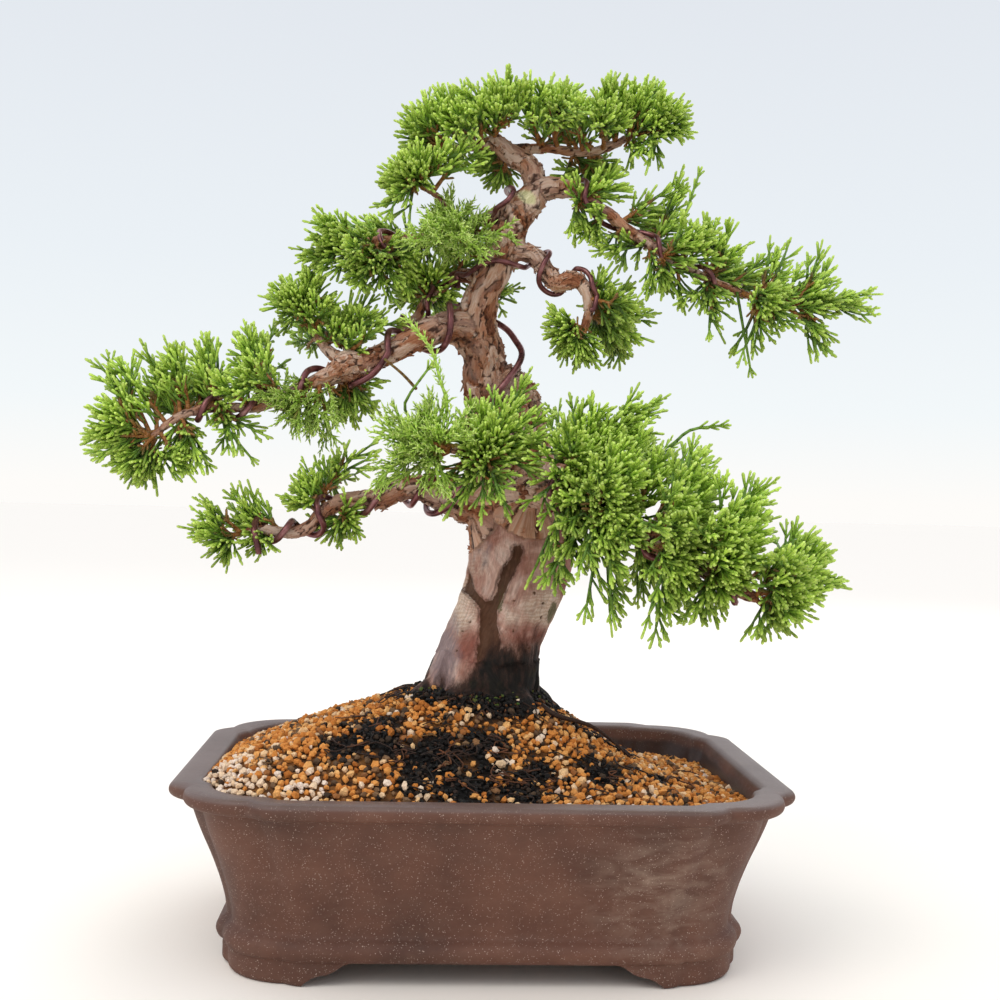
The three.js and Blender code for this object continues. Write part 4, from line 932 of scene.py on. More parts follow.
def fused_wood():
    """All branches and roots swept, and melted into one skin."""
    bm = bmesh.new()
    for name, points in BRANCHES.items():
        sweep(bm, curve_through(points, 5), TRUNK_SIDES if name == "trunk" else BRANCH_SIDES)
    for points in ROOTS:
        sweep(bm, curve_through(points, 5), ROOT_SIDES)
    bmesh.ops.triangulate(bm, faces=bm.faces, quad_method="SHORT_EDGE")
    put_in_order(bm)
    rough = object_from(bm, "rough_wood")
    fuse = rough.modifiers.new("fuse", "REMESH")
    fuse.mode = "VOXEL"
    fuse.voxel_size = WOOD_VOXEL
    bake_modifiers(rough)
    bm = bmesh_from(rough)
    bmesh.ops.smooth_vert(bm, verts=bm.verts, factor=0.5, use_axis_x=True, use_axis_y=True,
                          use_axis_z=True)
    bm.normal_update()
    return bm


def plates_at(grain, size):
    """Bark plates at a place of the grain: how far it rises, how deep the crack is, and its tint."""
    cell = Vector((grain.x, grain.y, grain.z * 0.42)) / PLATE_WIDTH
    cell += noise.noise_vector(cell * 0.8) * 0.6 + noise.noise_vector(cell * 2.6) * 0.16
    (near, far, *_), (middle, *_) = noise.voronoi(cell)
    edge = far - near
    tint = noise.cell(middle * 7.3) * 0.5 + 0.5
    tilt = (cell.z - middle.z) * 1.1 + (cell.x - middle.x) * 0.5
    small = noise.noise(cell * 3.1) * 0.4 + noise.noise(cell * 7.0) * 0.16
    rise = smoothly(edge, 0.0, 0.14) * 0.45 - 0.35 + tilt * 0.8 + small + (tint - 0.5) * 0.7
    # a crack is darker where its plate lies lower, as painted shade
    depth = smoothly(edge + small * 0.35, 0.0, 0.2) * (0.8 + 0.2 * min(max(rise + 0.5, 0), 1))
    return rise * size, depth, tint


def strip_at(x, z):
    """The sunken strip at a place on the front: how deep it lies there, its floor and its lips."""
    sunk, floor, lips = 0.0, 0.0, 0.0
    for run, first, last, depth in STRIP:
        away, share = distance_to_run(x, z, run)
        half = first + (last - first) * share + 0.7 * noise.noise(Vector((x, z, 5)) * 0.3)
        fade = smoothly(z, 106, 122)
        inside = smoothly(away, half + GROOVE_EDGE, half - GROOVE_EDGE) * fade
        sunk = max(sunk, inside * depth)
        floor = max(floor, inside)
        lips = max(lips, math.exp(-((away - half - 0.2) / 0.8) ** 2) * fade)
    return sunk, floor, lips * (1.0 if floor < 0.97 else 0.0)


def old_skin(at, around, upper, lift):
    """The smooth skin of the lower trunk at a place: how far it stands out, its stains and its strip."""
    turn = math.atan2(around.y, around.x)
    broad = noise.noise(Vector((around.x * 0.07, around.y * 0.07, at.z * 0.025)))
    lift += (broad * 3.0 + math.cos(3 * turn + 0.02 * at.z) * 0.9) * (1 - 0.5 * upper)
    lift += noise.noise(at * 0.22) * 0.5 * (1 - upper)
    # the back has the stains of the front, mirrored and a little lower
    x, z = (at.x, at.z) if at.y < 0 else (25 - at.x, at.z + 4)
    sunk, floor, lips = strip_at(x, z) if at.y < -3 else (0.0, 0.0, 0.0)
    lift += 0.45 * lips - sunk
    for knot_x, knot_z, knot in KNOTS if at.y < -4 else ():
        near = math.hypot(at.x - knot_x, at.z - knot_z)
        lift += 0.8 * math.exp(-((near - knot) / 0.6) ** 2) - 0.6 * math.exp(-(near / 0.6) ** 2)
        floor = max(floor, 0.75 * smoothly(near, 0.9 * knot, 0.4 * knot))
    left_black, right_black = BLACK_BELOW
    damp = left_black + (right_black - left_black) * smoothly(x, -9, 6)
    damp += 3.0 * noise.noise(Vector((x * 0.25, at.y * 0.25, 7)))
    dark = smoothly(z, damp + 9, damp - 12)
    stains = [stained(blots, x, z) for blots in (CREAM, RUST, MOSS)]
    # the strip's channels: its floor, partly painted shade; the black at the soil, with painted shade along
    # the strip's lips; and the grey stains
    return lift, stains, (floor, max(dark, 0.8 * lips * (1 - floor)), stained(GREY, x, z))


def scarred(at, here, chopped, lift, relief):
    """The bark's lift and relief at a place with the stump's splinters, the cut scar and the knob's
    wrinkles, and how far the place is cut wood."""
    cut = 0.0
    stump = (at - STUMP).length
    if chopped and stump < STUMP_SPAN and at.x > 3:
        splinters = noise.noise(Vector((here.x, here.y, here.z * 0.25)) * 0.5)
        lift += splinters * 3.0 * smoothly(stump, STUMP_SPAN, 8)
    scar = at - SCAR
    if at.y < -4 and scar.length < SCAR_SPAN:
        away = math.hypot(scar.dot(SCAR_AXIS) / SCAR_REACH[0],
                          scar.dot(SCAR_AXIS.cross(Vector((0, 1, 0)))) / SCAR_REACH[1])
        cut = smoothly(away, 1.0, 0.8)
        lift = lift * smoothly(away, 0.8, 1.2) + 0.8 * math.exp(-((away - 1.15) / 0.2) ** 2)
        # a dark ring in the crease at the scar's edge, painted shade
        relief = min(relief, 1 - 0.8 * math.exp(-((away - 0.98) / 0.1) ** 2))
    knob = (at - KNOB).length
    if at.y < -5 and knob < KNOB_SPAN:
        wrinkle = knob * 2.3 + 3.4 * noise.noise(at * 0.42)
        lift += 0.55 * math.cos(wrinkle) * smoothly(knob, KNOB_SPAN, 4)
        # painted shade beside the troughs of the wrinkles
        relief = min(relief, 0.6 + 0.4 * math.cos(wrinkle + 0.6))
    return lift, relief, cut


def make_wood():
    """The wood under its bark, every corner moved along its normal; gives places for flakes."""
    bm = fused_wood()
    stations, tree = wood_stations()
    grain = bm.verts.layers.float_vector.new("grain")
    flaky, relief, tint, cut = float_layers(bm, "flaky", "relief", "tint", "cut")
    stain, strip = (bm.verts.layers.float_vector.new(name) for name in ("stain", "strip"))
    perches = []
    for v in bm.verts:
        nearest = min(tree.find_n(v.co, 5), key=lambda found: found[2] - stations[found[1]][1])
        place, radius, turned, length, name = stations[nearest[1]]
        local = turned.transposed() @ (v.co - place)
        seed = sum(map(ord, name)) % 50
        around = Vector((local.x, local.y, 0)).normalized() * radius
        here = Vector((around.x + seed, around.y, length + local.z))
        old = name in ("trunk", "root")
        upper = smoothly(v.co.z + 9 * noise.noise(v.co * 0.11), *BARK_FROM) if old else 1.0
        size = min(radius, 8) / 8
        rise, depth, shade = plates_at(here * (1.0 if radius > THIN_BRANCH else 1.35), 0.25 + 0.75 * size)
        lift = rise * upper
        if old:
            lift, v[stain], v[strip] = old_skin(v.co, around, upper, lift)
        chopped = name in ("trunk", "leader")
        lift, v[relief], v[cut] = scarred(v.co, here, chopped, lift, 1 - (1 - depth) * upper)
        v[grain] = here
        v[flaky] = upper
        v[tint] = shade
        v.co += v.normal * lift
        if upper > 0.9 and radius > FLAKE_BRANCH:
            perches.append((v.co.copy(), v.normal.copy(), turned, here, shade, radius))
    wood = piece_from(bm, "juniper_wood", BARK)
    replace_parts(wood, "tree_wood")
    return perches


def bark_flake():
    """A thin curled flake of bark, 1 mm to a side before it is stretched."""
    bm = bmesh.new()
    bmesh.ops.create_grid(bm, x_segments=2, y_segments=3, size=0.5)
    for v in bm.verts:
        v.co.z = 1.1 * v.co.x ** 2 + 0.5 * (v.co.y + 0.5) ** 2
    bmesh.ops.solidify(bm, geom=bm.faces[:], thickness=0.09)
    return ready_shape(bm)


def make_flakes(perches):
    """Flakes that stand off the upper bark, most on the leader's foot, the stump and the bends."""
    draw = random.Random(73)
    shape = bark_flake()
    bm = bmesh.new()
    grain = bm.verts.layers.float_vector.new("grain")
    flaky, relief, tint, _ = float_layers(bm, "flaky", "relief", "tint", "cut")
    count = 0
    while count < FLAKES:
        place, out, turned, here, shade, radius = draw.choice(perches)
        rough = max(smoothly((place - STUMP).length, 26, 8), smoothly((place - BULGE).length, 16, 6),
                    smoothly((place - RAGGED).length, 16, 8))
        if draw.random() > 0.22 + 0.78 * rough or (place - SCAR).length < SCAR_SPAN - 1:
            continue
        count += 1
        along = turned.col[2]
        frame_here = aimed(place - out * 0.35, out, along)
        turn = Matrix.Rotation(draw.uniform(-0.5, 0.5) + draw.choice((0, math.pi)), 4, "Z")
        tilt = Matrix.Rotation(draw.uniform(0.0, 0.22), 4, "Y")
        long = draw.uniform(1.8, 5.2) * (0.55 + 0.06 * min(radius, 8))
        wide = draw.uniform(0.9, 2.4)
        stretch = Matrix.Rotation(TURN / 4, 4, "Z") @ Matrix.Diagonal((wide, long, 0.27 * (wide + long), 1))
        tone = min(max(shade + draw.uniform(-0.35, 0.35), 0), 1)
        for v in stamp(bm, shape, frame_here @ turn @ tilt @ stretch):
            v[grain] = here + (v.co - place)
            v[flaky] = v[relief] = 1.0
            v[tint] = tone
    piece_from(bm, "bark_flakes", BARK, smooth=False)


# ================================================================ soil
MOUND_TOP = 103.0
MOUND_CENTRE = Vector((2.0, -2.0, 0.0))
MOUND_CROWN = 22.0
# where the bed meets the wall: its middle height, and how much lower it lies at the back and right
SOIL_EDGE = (65.2, 4.2, 3.6)
# how steeply it falls: in the middle, and how much steeper at the back and right
MOUND_FALL = (1.3, 0.2, 0.57)
EDGE_STEPS = 240
BED_RINGS = 28
BED_SINK = 1.2


def wall_height(turn):
    """The height at which the bed meets the wall, at a turn round the tree."""
    middle, back, right = SOIL_EDGE
    return middle - back * math.sin(turn) - right * math.cos(turn)


def edge_points():
    """Where the bed meets the wall, at even turns round the tree, as (turn, place)."""
    out = []
    for k in range(EDGE_STEPS):
        turn = TURN * k / EDGE_STEPS
        height = wall_height(turn)
        outline = pot_outline(inset_at(height) + 0.6)
        ray = Vector((math.cos(turn), math.sin(turn)))
        best = 1e9
        for a, b in zip(outline, outline[1:] + outline[:1]):
            a, b = Vector(a), Vector(b)
            side = b - a
            cross = ray.x * side.y - ray.y * side.x
            if abs(cross) < 1e-9:
                continue
            reach = (a.x * side.y - a.y * side.x) / cross
            share = (a.x * ray.y - a.y * ray.x) / cross
            if reach > 0 and -1e-6 <= share <= 1 + 1e-6:
                best = min(best, reach)
        out.append((turn, Vector((ray.x * best, ray.y * best, height))))
    return out


EDGE = edge_points()


def bed_point(k, share):
    """A place on the mound, by its turn (in steps) and its share of the way out to the wall."""
    k %= EDGE_STEPS
    low = int(k)
    part = k - low
    turn = EDGE[low][0] + part * TURN / EDGE_STEPS
    rim = EDGE[low][1].lerp(EDGE[(low + 1) % EDGE_STEPS][1], part)
    crown = MOUND_CENTRE + Vector((MOUND_CROWN * math.cos(turn), MOUND_CROWN * math.sin(turn), MOUND_TOP))
    middle, back, right = MOUND_FALL
    fall = middle + right * math.cos(turn) + back * math.sin(turn)
    place = crown.lerp(rim, share)
    place.z = rim.z + (MOUND_TOP - rim.z) * (1 - share) ** fall
    place.z += noise.noise(Vector((place.x, place.y, 3)) * 0.05) * 9.6 * share * (1 - share)
    return place


# patches of black peat, as (x, y, radius)
PEAT_PATCHES = [(-42, -52, 15), (-56, -60, 9), (-20, -64, 15), (0, -58, 12), (22, -64, 10), (-2, -90, 9),
                (-38, -94, 8), (48, -15, 10), (44, 25, 13), (58, 38, 8), (50, -56, 9), (72, -46, 7),
                (-8, -79, 14), (14, -79, 11), (-26, -74, 10), (24, 52, 15), (-40, 40, 12)]


def peat_share(place):
    """How dark and peaty the bed is at a place: round the trunk, and in some patches."""
    rough = noise.noise(Vector((place.x, place.y, 11)) * 0.09) * 0.6
    share = 1.1 - ((place - MOUND_CENTRE).xy.length - 27) / 12
    for x, y, reach in PEAT_PATCHES:
        share = max(share, 1.35 - math.hypot(place.x - x, (place.y - y)) / reach)
    return min(max(share + rough, 0.0), 1.0)


def make_bed():
    """The bed that the grains lie on, down along the wall to the pot's floor."""
    sink = Vector((0, 0, BED_SINK))
    loops = [[bed_point(k, ring / BED_RINGS) - sink for k in range(0, EDGE_STEPS, 2)]
             for ring in range(BED_RINGS + 1)]
    rim = loops[-1]
    for height in (45.0, FLOOR_TOP + 0.5):
        shrink = 1 - (inset_at(height) - 13) / 100
        loops.append([Vector((POT_X + (p.x - POT_X) * shrink, p.y * shrink, height)) for p in rim])
    bm = lofted(loops)
    peaty = bm.verts.layers.float.new("peaty")
    for v in bm.verts:
        v[peaty] = smoothly(peat_share(v.co), 0.2, 0.7)
    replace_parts(piece_from(bm, "clay_bed", BED), "soil")


def grain_shapes(draw, count, flatness):
    """Ready angular grains: small balls of twenty facets, their corners knocked in and out."""
    shapes = []
    for _ in range(count):
        bm = bmesh.new()
        bmesh.ops.create_icosphere(bm, subdivisions=1, radius=1)
        for v in bm.verts:
            v.co *= draw.uniform(0.7, 1.2)
            v.co.z *= flatness
        shapes.append(ready_shape(bm))
    return shapes


def tumbled(place, size, draw):
    """A place for a grain of a size, turned and stretched at random."""
    axis = Vector((draw.uniform(-1, 1), draw.uniform(-1, 1), draw.uniform(-1, 1)))
    turned = Matrix.Rotation(draw.uniform(0, TURN), 4, axis)
    squat = Matrix.Diagonal((size * draw.uniform(0.85, 1.25), size, size * draw.uniform(0.75, 1.0), 1))
    return Matrix.Translation(place) @ turned @ squat


# patches of pale pumice, as (x, y, radius, share)
PUMICE_PATCHES = [(-102, -50, 15, 0.8), (-90, -74, 15, 0.8), (-68, -88, 10, 0.6), (-24, -82, 8, 0.5),
                  (7, -60, 7, 0.45), (25, -45, 6, 0.4), (30, 58, 7, 0.4)]


def grain_kind(place, draw):
    """Which grain lies at a place: near 0 black, then grey brown, orange, tan, and cream at 1."""
    pumice = 0.045
    for x, y, reach, strength in PUMICE_PATCHES:
        away = math.hypot(place.x - x, place.y - y)
        pumice = max(pumice, strength * smoothly(away, reach * 1.2, reach * 0.5))
    if draw.random() < pumice:
        return draw.uniform(0.86, 1.0)
    if draw.random() < 0.17:
        return draw.uniform(0.04, 0.2)
    return min(max(draw.gauss(0.55, 0.17), 0.22), 0.86)


GRAIN_TRIES = 46000
GRAIN_RADII = (1.0, 1.2, 1.4, 1.5, 1.6, 1.7, 1.9, 2.2)
GRAIN_PACKING = 0.68  # how near two grains may lie, as a share of their radii
GRAIN_CELL = 4  # the width of the cells in which neighbours are looked for
PEAT_CRUMBS = 4600
ROOTLETS = 160


def make_grains():
    """Single grains over the bed, none inside another, and few of them where the bed is peaty."""
    draw = random.Random(71)
    shapes = grain_shapes(draw, 16, 0.85)
    cells = {}
    halves = {side: bmesh.new() for side in ("left", "right")}
    layers = {side: bm.verts.layers.float.new("kind") for side, bm in halves.items()}
    for _ in range(GRAIN_TRIES):
        place = bed_point(draw.uniform(0, EDGE_STEPS), math.sqrt(draw.random()))
        size = draw.choice(GRAIN_RADII)
        cell = (int(place.x // GRAIN_CELL), int(place.y // GRAIN_CELL))
        if any((place - other).length < GRAIN_PACKING * (size + other_size)
               for i in (-1, 0, 1) for j in (-1, 0, 1)
               for other, other_size in cells.get((cell[0] + i, cell[1] + j), ())):
            continue
        cells.setdefault(cell, []).append((place, size))
        kind = grain_kind(place, draw)
        if draw.random() < peat_share(place) * 0.93:
            if draw.random() < 0.7:
                continue
            kind = draw.uniform(0.0, 0.1)
            size *= 0.75
        side = "left" if place.x < 0 else "right"
        lift = Vector((0, 0, draw.uniform(-0.7, 0.5)))
        for v in stamp(halves[side], draw.choice(shapes), tumbled(place + lift, size, draw)):
            v[layers[side]] = kind
    for side, bm in halves.items():
        piece_from(bm, f"clay_grains_{side}", GRAINS, smooth=False)


def make_peat():
    """Peat crumbs and bits of old bark, with moss at the foot of the trunk."""
    draw = random.Random(72)
    shapes = grain_shapes(draw, 8, 0.6)
    bm = bmesh.new()
    layer = bm.verts.layers.float.new("kind")
    count = 0
    while count < PEAT_CRUMBS:
        turn = draw.uniform(0, EDGE_STEPS)
        place = bed_point(turn, draw.random() ** 0.8 if count % 3 else draw.random() * 0.15)
        if draw.random() > peat_share(place):
            continue
        count += 1
        near = (place - MOUND_CENTRE).xy.length < 30
        kind = draw.uniform(0.9, 1.0) if near and draw.random() < 0.1 else 0.88 * draw.random() ** 2.2
        place.z += draw.uniform(-0.6, 1.3 if near else 0.5)
        for v in stamp(bm, draw.choice(shapes), tumbled(place, draw.uniform(0.45, 1.25), draw)):
            v[layer] = kind
    piece_from(bm, "peat_crumbs", PEAT, smooth=False)


# a root that lies on the mound, as (x, y, lift over it, radius)
SURFACE_ROOT = [(26, -24, 0.6, 1.3), (32, -30, 3.2, 1.1), (45, -30, 6.0, 0.9), (54, -31, 5.4, 0.6),
                (62, -33, 2.2, 0.4)]


def mound_height(x, y):
    """The mound's height at a place seen from above."""
    k = math.atan2(y - MOUND_CENTRE.y, x - MOUND_CENTRE.x) / TURN * EDGE_STEPS
    ray = [bed_point(k, step / 40) for step in range(41)]
    return min(ray, key=lambda place: math.hypot(place.x - x, place.y - y)).z


def make_rootlets():
    """Fine dead roots and bits of straw, most of them on the peat."""
    draw = random.Random(74)
    bm = bmesh.new()
    layer = bm.verts.layers.float.new("kind")
    runs = [[(x, y, mound_height(x, y) + lift, radius) for x, y, lift, radius in SURFACE_ROOT]]
    while len(runs) < ROOTLETS:
        k = draw.uniform(0, EDGE_STEPS)
        share = draw.uniform(0.05, 0.85)
        if draw.random() > peat_share(bed_point(k, share)) + 0.05:
            continue
        run = []
        for i in range(6):
            share = min(share + draw.uniform(-0.02, 0.05), 0.95)
            k += draw.uniform(-2.8, 2.8)
            lift = 1.0 if i in (0, 5) else draw.uniform(0.9, 1.9)
            run.append((*(bed_point(k, share) + Vector((0, 0, lift))), 0.36 - 0.03 * i))
        runs.append(run)
    for run in runs:
        kind = draw.uniform(0.5, 0.88)
        part = bmesh.new()
        sweep(part, curve_through(run, 3), 5)
        for v in stamp(bm, ready_shape(part), Matrix.Identity(4)):
            v[layer] = kind
    piece_from(bm, "rootlets", PEAT)


# ================================================================ foliage
TUFTS = {
    "apex_tip": ("apex", 5, [(9, -4, 29, 13), (-7, -28, 15, 12), (14, -34, 11, 10)]),
    "apex_left_end": ("apex_left", 3, [(-21, -9, 14, 13), (-20, -1, -7, 9), (-10, 15, 27, 12)]),
    "apex_left_mid": ("apex_left", 1.7, [(-10, 2, 29, 12), (-4, -34, 6, 10), (-8, 37, 28, 14),
                                         (11, 43, 28, 13)]),
    "apex_right_near": ("apex_right", 2.3, [(-8, -23, 24, 13), (-5, -51, 10, 12), (-10, 37, 31, 14),
                                            (13, 40, 35, 14)]),
    "apex_right_mid": ("apex_right", 4, [(0, -11, 32, 12), (-8, -39, 9, 11)]),
    "apex_under": ("apex_right", 3.3, [(14, 14, -11, 10), (-11, 16, -17, 8)]),
    "apex_right_high": ("apex_right", 5, [(11, -5, 29, 11), (12, 29, 23, 13)]),
    "apex_right_end": ("apex_right", 6, [(23, -4, 4, 12), (3, -18, -17, 9), (12, -20, 8, 10)]),
    "crown_under": ("apex", 3.6, [(1, 16, -17, 7), (-14, 18, -9, 8)]),
    "tuft_high": ("upper_left_twig", 2.6, [(24, -17, 17, 10), (-3, -15, 8, 10), (-20, -6, 0, 11),
                                           (-15, -24, -15, 9), (-17, 14, 11, 9)]),
    "tuft_front": ("upper_left", 3, [(-13, -55, -11, 10), (16, -39, -14, 8)]),
    "upper_left_end": ("upper_left", 7, [(-25, -12, 5, 11), (-26, -14, -17, 12)]),
    "upper_left_drop": ("upper_left", 6, [(3, -17, -29, 8), (-12, -33, -25, 11)]),
    "upper_left_back": ("upper_left", 5.2, [(-28, 38, 9, 14), (-3, 32, -5, 11)]),
    "left_rise": ("left_upper_twig", 3, [(-5, -10, 8, 11), (13, -10, 15, 12)]),
    "left_rise_near": ("left_upper_twig", 1, [(29, -8, 20, 11), (-14, 48, 13, 14)]),
    "left_drop_front": ("left_main", 8, [(4, -19, -25, 11), (-18, -15, -12, 9)]),
    "left_drop": ("left_main", 6.6, [(17, 18, -14, 9), (5, 24, -23, 8)]),
    "left_crest": ("left_main", 9.4, [(-14, 7, 32, 9), (-18, -17, 10, 11), (-7, 43, 30, 12)]),
    "far_left_crest": ("left_main", 12, [(2, 11, 35, 9), (-9, 41, 21, 11), (21, -15, -20, 4)]),
    "far_left_high": ("left_main", 13, [(-7, 6, 34, 12), (-8, 48, 23, 12), (15, -8, -26, 8)]),
    "far_left_end": ("left_main", 14, [(-28, -5, -2, 11), (-17, 9, 38, 12), (-22, -13, 13, 10)]),
    "far_left_drop": ("left_main", 13.5, [(-15, -3, -25, 11), (8, -7, -24, 10), (-22, 45, -6, 12)]),
    "mid_left_twig": ("mid_left", 3, [(-18, -4, 12, 10), (14, 19, 30, 11), (-18, 24, 4, 11),
                                      (1, 29, -7, 9)]),
    "leader_back": ("leader", 6.4, [(9, 45, -3, 9), (-3, 59, 18, 10)]),
    "lower_left_crest": ("lower_left", 8.6, [(-16, 1, 11, 11), (19, -5, 33, 9), (3, 41, 19, 12)]),
    "lower_left_under": ("lower_left", 7.6, [(4, -5, -15, 7), (-10, 13, -18, 7)]),
    "lower_left_end": ("lower_left", 14, [(-24, -2, 7, 11), (-11, -6, -11, 9)]),
    "lower_left_tip": ("lower_left", 12.5, [(-16, -1, 21, 8), (-2, -5, -14, 9), (-16, 37, 7, 9)]),
    "droop_left": ("right_mid", 8, [(-20, -8, 3, 9), (2, -10, -17, 10)]),
    "droop_right": ("right_mid", 7, [(26, -5, -9, 13), (13, 3, 14, 10), (23, 24, -17, 10),
                                     (14, 42, 4, 11)]),
    "right_near": ("upper_right", 4.4, [(-16, -6, -13, 9), (14, 4, 15, 7)]),
    "right_first": ("upper_right", 6.4, [(31, 18, 30, 7), (-16, -6, -14, 9), (16, 40, 15, 10)]),
    "right_second": ("upper_right", 7.7, [(17, -14, 10, 11), (1, -6, -23, 11)]),
    "right_third": ("upper_right", 9, [(13, 0, 29, 11), (1, -10, -18, 10), (18, 46, 13, 13)]),
    "right_fourth": ("upper_right", 10.4, [(25, 3, 24, 8), (4, -11, -34, 9), (34, 39, 6, 12),
                                           (7, -28, -10, 11)]),
    "right_end": ("upper_right", 12, [(44, 0, 2, 10), (21, -6, -24, 12), (21, 6, 22, 11)]),
    "mass_high": ("lower_right", 3, [(-4, -10, 41, 13), (29, -2, 47, 15), (-18, -12, -34, 11)]),
    "mass_front": ("lower_right", 4, [(-14, -48, 15, 14), (-5, -22, -47, 11), (0, -28, 31, 13)]),
    "mass_back": ("lower_right", 4.6, [(31, 44, 22, 14), (9, 30, -28, 12)]),
    "mass_mid": ("lower_right", 5.2, [(18, -5, 38, 15), (-8, -57, 14, 15), (-4, -31, -36, 12)]),
    "mass_right": ("lower_right", 6.4, [(25, 4, 36, 14), (-4, -46, 15, 14), (-1, -10, -25, 10)]),
    "mass_end": ("lower_right", 8.4, [(37, -1, 12, 11), (27, 7, 28, 13), (10, -9, -17, 11),
                                      (0, -37, 16, 12), (25, 41, 19, 13)]),
    "front_left": ("front", 4, [(-32, -8, 12, 11), (-35, -10, -14, 8), (-13, -2, 22, 9)]),
    "front_mid": ("front", 2.2, [(0, -10, 28, 9), (5, -36, -22, 11), (-15, -20, -24, 8),
                                 (19, -11, 32, 5)]),
    "back_left": ("back", 2, [(-20, 44, 16, 15), (-12, 36, -17, 12)]),
    "back_mid": ("back", 3, [(-8, 38, 22, 15), (15, 42, -19, 14)]),
    "back_end": ("back", 4, [(43, 18, 2, 15), (25, 40, 19, 14), (12, -16, -18, 13)]),
    "high_back": ("back_high", 3, [(-10, 22, 9, 12), (11, 30, 21, 12), (-24, 8, -4, 10)]),
}
# tufts that still bear the soft needle leaves of young growth
YOUNG_TUFTS = {"front_left", "tuft_front", "left_drop_front"}
# how full the shoots of a branch are, 1 being an airy pad that one can see through
FULLNESS = {"lower_right": 1.46, "front": 1.1, "right_mid": 1.5, "apex": 1.35, "apex_left": 1.3,
            "apex_right": 1.3, "upper_left": 1.3, "upper_left_twig": 1.3, "left_upper_twig": 1.25,
            "back": 1.4, "mid_left": 1.25, "upper_right": 1.05, "left_main": 1.2, "lower_left": 0.85}
# fuller branches bear a further shoot between any two that stand less than this angle apart
EXTRA_SHOOTS_FROM = 1.4
EXTRA_SHOOT_ANGLE = math.radians(115)
# shoots that rise from the branch itself, beside a tuft's stem
SIDE_SHOOTS = {"apex": 4, "apex_left": 4, "apex_right": 5, "lower_right": 4, "upper_right": 4,
               "left_main": 5, "right_mid": 2, "lower_left": 1}
USUAL_SIDE_SHOOTS = 3
# how much the twigs of a shoot are drawn the way that its branch grows
FLOW = {"lower_right": 0.8, "upper_right": 0.5, "lower_left": 0.5, "front": 0.1}
USUAL_FLOW = 0.38
RISE = 0.16  # and upwards
# further shoots that close the pads in front of the trunk and left of the leader, as in TUFTS
CLOSING_SHOOTS = {
    "tuft_front": [(-8, -20, 12, 9), (8, -24, 4, 8)],
    "upper_left_drop": [(14, -6, -16, 8), (22, -4, -8, 8)],
    "mid_left_twig": [(-6, -10, 14, 9), (8, -12, -6, 8)],
    "left_rise": [(-16, -4, 12, 9), (8, -12, 2, 8)],
    "left_rise_near": [(10, -14, 10, 9), (22, -8, -2, 8)],
    "front_mid": [(26, -18, 16, 12), (24, -24, -2, 12), (30, -12, 6, 11), (12, -26, 20, 10),
                  (-18, -12, 8, 10)],
    "mass_high": [(-20, -20, 26, 12), (-22, -22, 6, 12), (-16, -26, -10, 12), (-6, -32, 12, 12)],
    "front_left": [(-24, -14, 2, 10), (-10, -16, -18, 10), (2, -16, 14, 10)],
    "mass_front": [(-22, -24, -12, 12), (-24, -20, 10, 11)],
}
THREAD_RADIUS = 0.55  # with its scale leaves on
THREAD_SIDES = 5
STUB_SIDES = 4
TWIG_RADIUS = 0.95
# threads of these lengths, each with several counts of stubs
THREAD_STUBS = {5.5: (0, 0, 1), 8.0: (0, 1, 2), 11.0: (1, 2, 2), 14.5: (2, 3, 3)}
# every shoot of a tuft forks into this many, set apart and slimmed by these shares of its half width
FORKS = 3
FORK_SPREAD = 0.62
FORK_WIDTH = 0.66
STEM_STEPS = 6
BRANCHLET_SPACING = 3.7
KNEE, PAST_KNEE = 0.55, 0.45  # where a branchlet bends, and the rest of it, as shares of its length
THREAD_SPACING = 2.7
DEAD_THREADS = 4
TIP_REACH = 9.0  # how far the last threads stand past the end of a shoot
FOOT_RADIUS = 1.2  # of a tuft's own stem, where it leaves the branch


def thread_shape(length, stubs, draw):
    """A straight thread of scale leaves along +Z, blunt at its tip, with a few short stubs to its sides."""
    bm = bmesh.new()
    youth = bm.verts.layers.float.new("youth")
    bend = draw.uniform(0.02, 0.1) * length
    axis = [(0.0, -0.3, 0.82), (0.3 * bend, 0.5 * length, 0.95), (0.9 * bend, length - 0.7, 1.1),
            (bend, length, 0.62)]
    sweep(bm, [(Vector((x, 0, z)), THREAD_RADIUS * share) for x, z, share in axis], THREAD_SIDES)
    for k in range(stubs):
        side = 1 if k % 2 else -1
        low = length * (0.36 + 0.52 * (k + draw.uniform(0.1, 0.8)) / stubs)
        root = Vector((bend * (low / length) ** 1.6, 0, low))
        way = Vector((side * draw.uniform(0.32, 0.6), draw.uniform(-0.22, 0.22), 1)).normalized()
        long = draw.uniform(0.75, 1.0) * min(0.36 * length, length - low + 1.2)
        sweep(bm, [(root, 0.8 * THREAD_RADIUS), (root + way * (long - 0.5), 0.98 * THREAD_RADIUS),
                   (root + way * long, 0.55 * THREAD_RADIUS)], STUB_SIDES)
    for v in bm.verts:
        v[youth] = min(max(v.co.z / (length + 0.8), 0), 1)
    return ready_shape(bm)


def needle_shape(length, draw):
    """A thread of young growth along +Z: short soft needles on all sides of a thin stem."""
    bm = bmesh.new()
    youth = bm.verts.layers.float.new("youth")
    sweep(bm, [(Vector((0, 0, -0.3)), 0.4), (Vector((0, 0, length)), 0.2)], 4)
    needles = int(length / 1.25)
    for i in range(needles):
        turn = i * GOLDEN_TURN
        root = Vector((0, 0, length * (i + 0.5) / needles))
        way = turned_off(Vector((0, 0, 1)), math.radians(draw.uniform(24, 42)), turn)
        long = draw.uniform(2.1, 3.1) * (1.1 - 0.4 * i / needles)
        bmesh.ops.create_cone(bm, cap_ends=True, segments=3, radius1=0.52, radius2=0.1, depth=long,
                              matrix=aimed(root + way * long * 0.5, way))
    for v in bm.verts:
        v[youth] = min(max(0.35 * v.co.z / length + 0.65 * smoothly(v.co.xy.length, 0.3, 1.5), 0), 1)
    return ready_shape(bm)


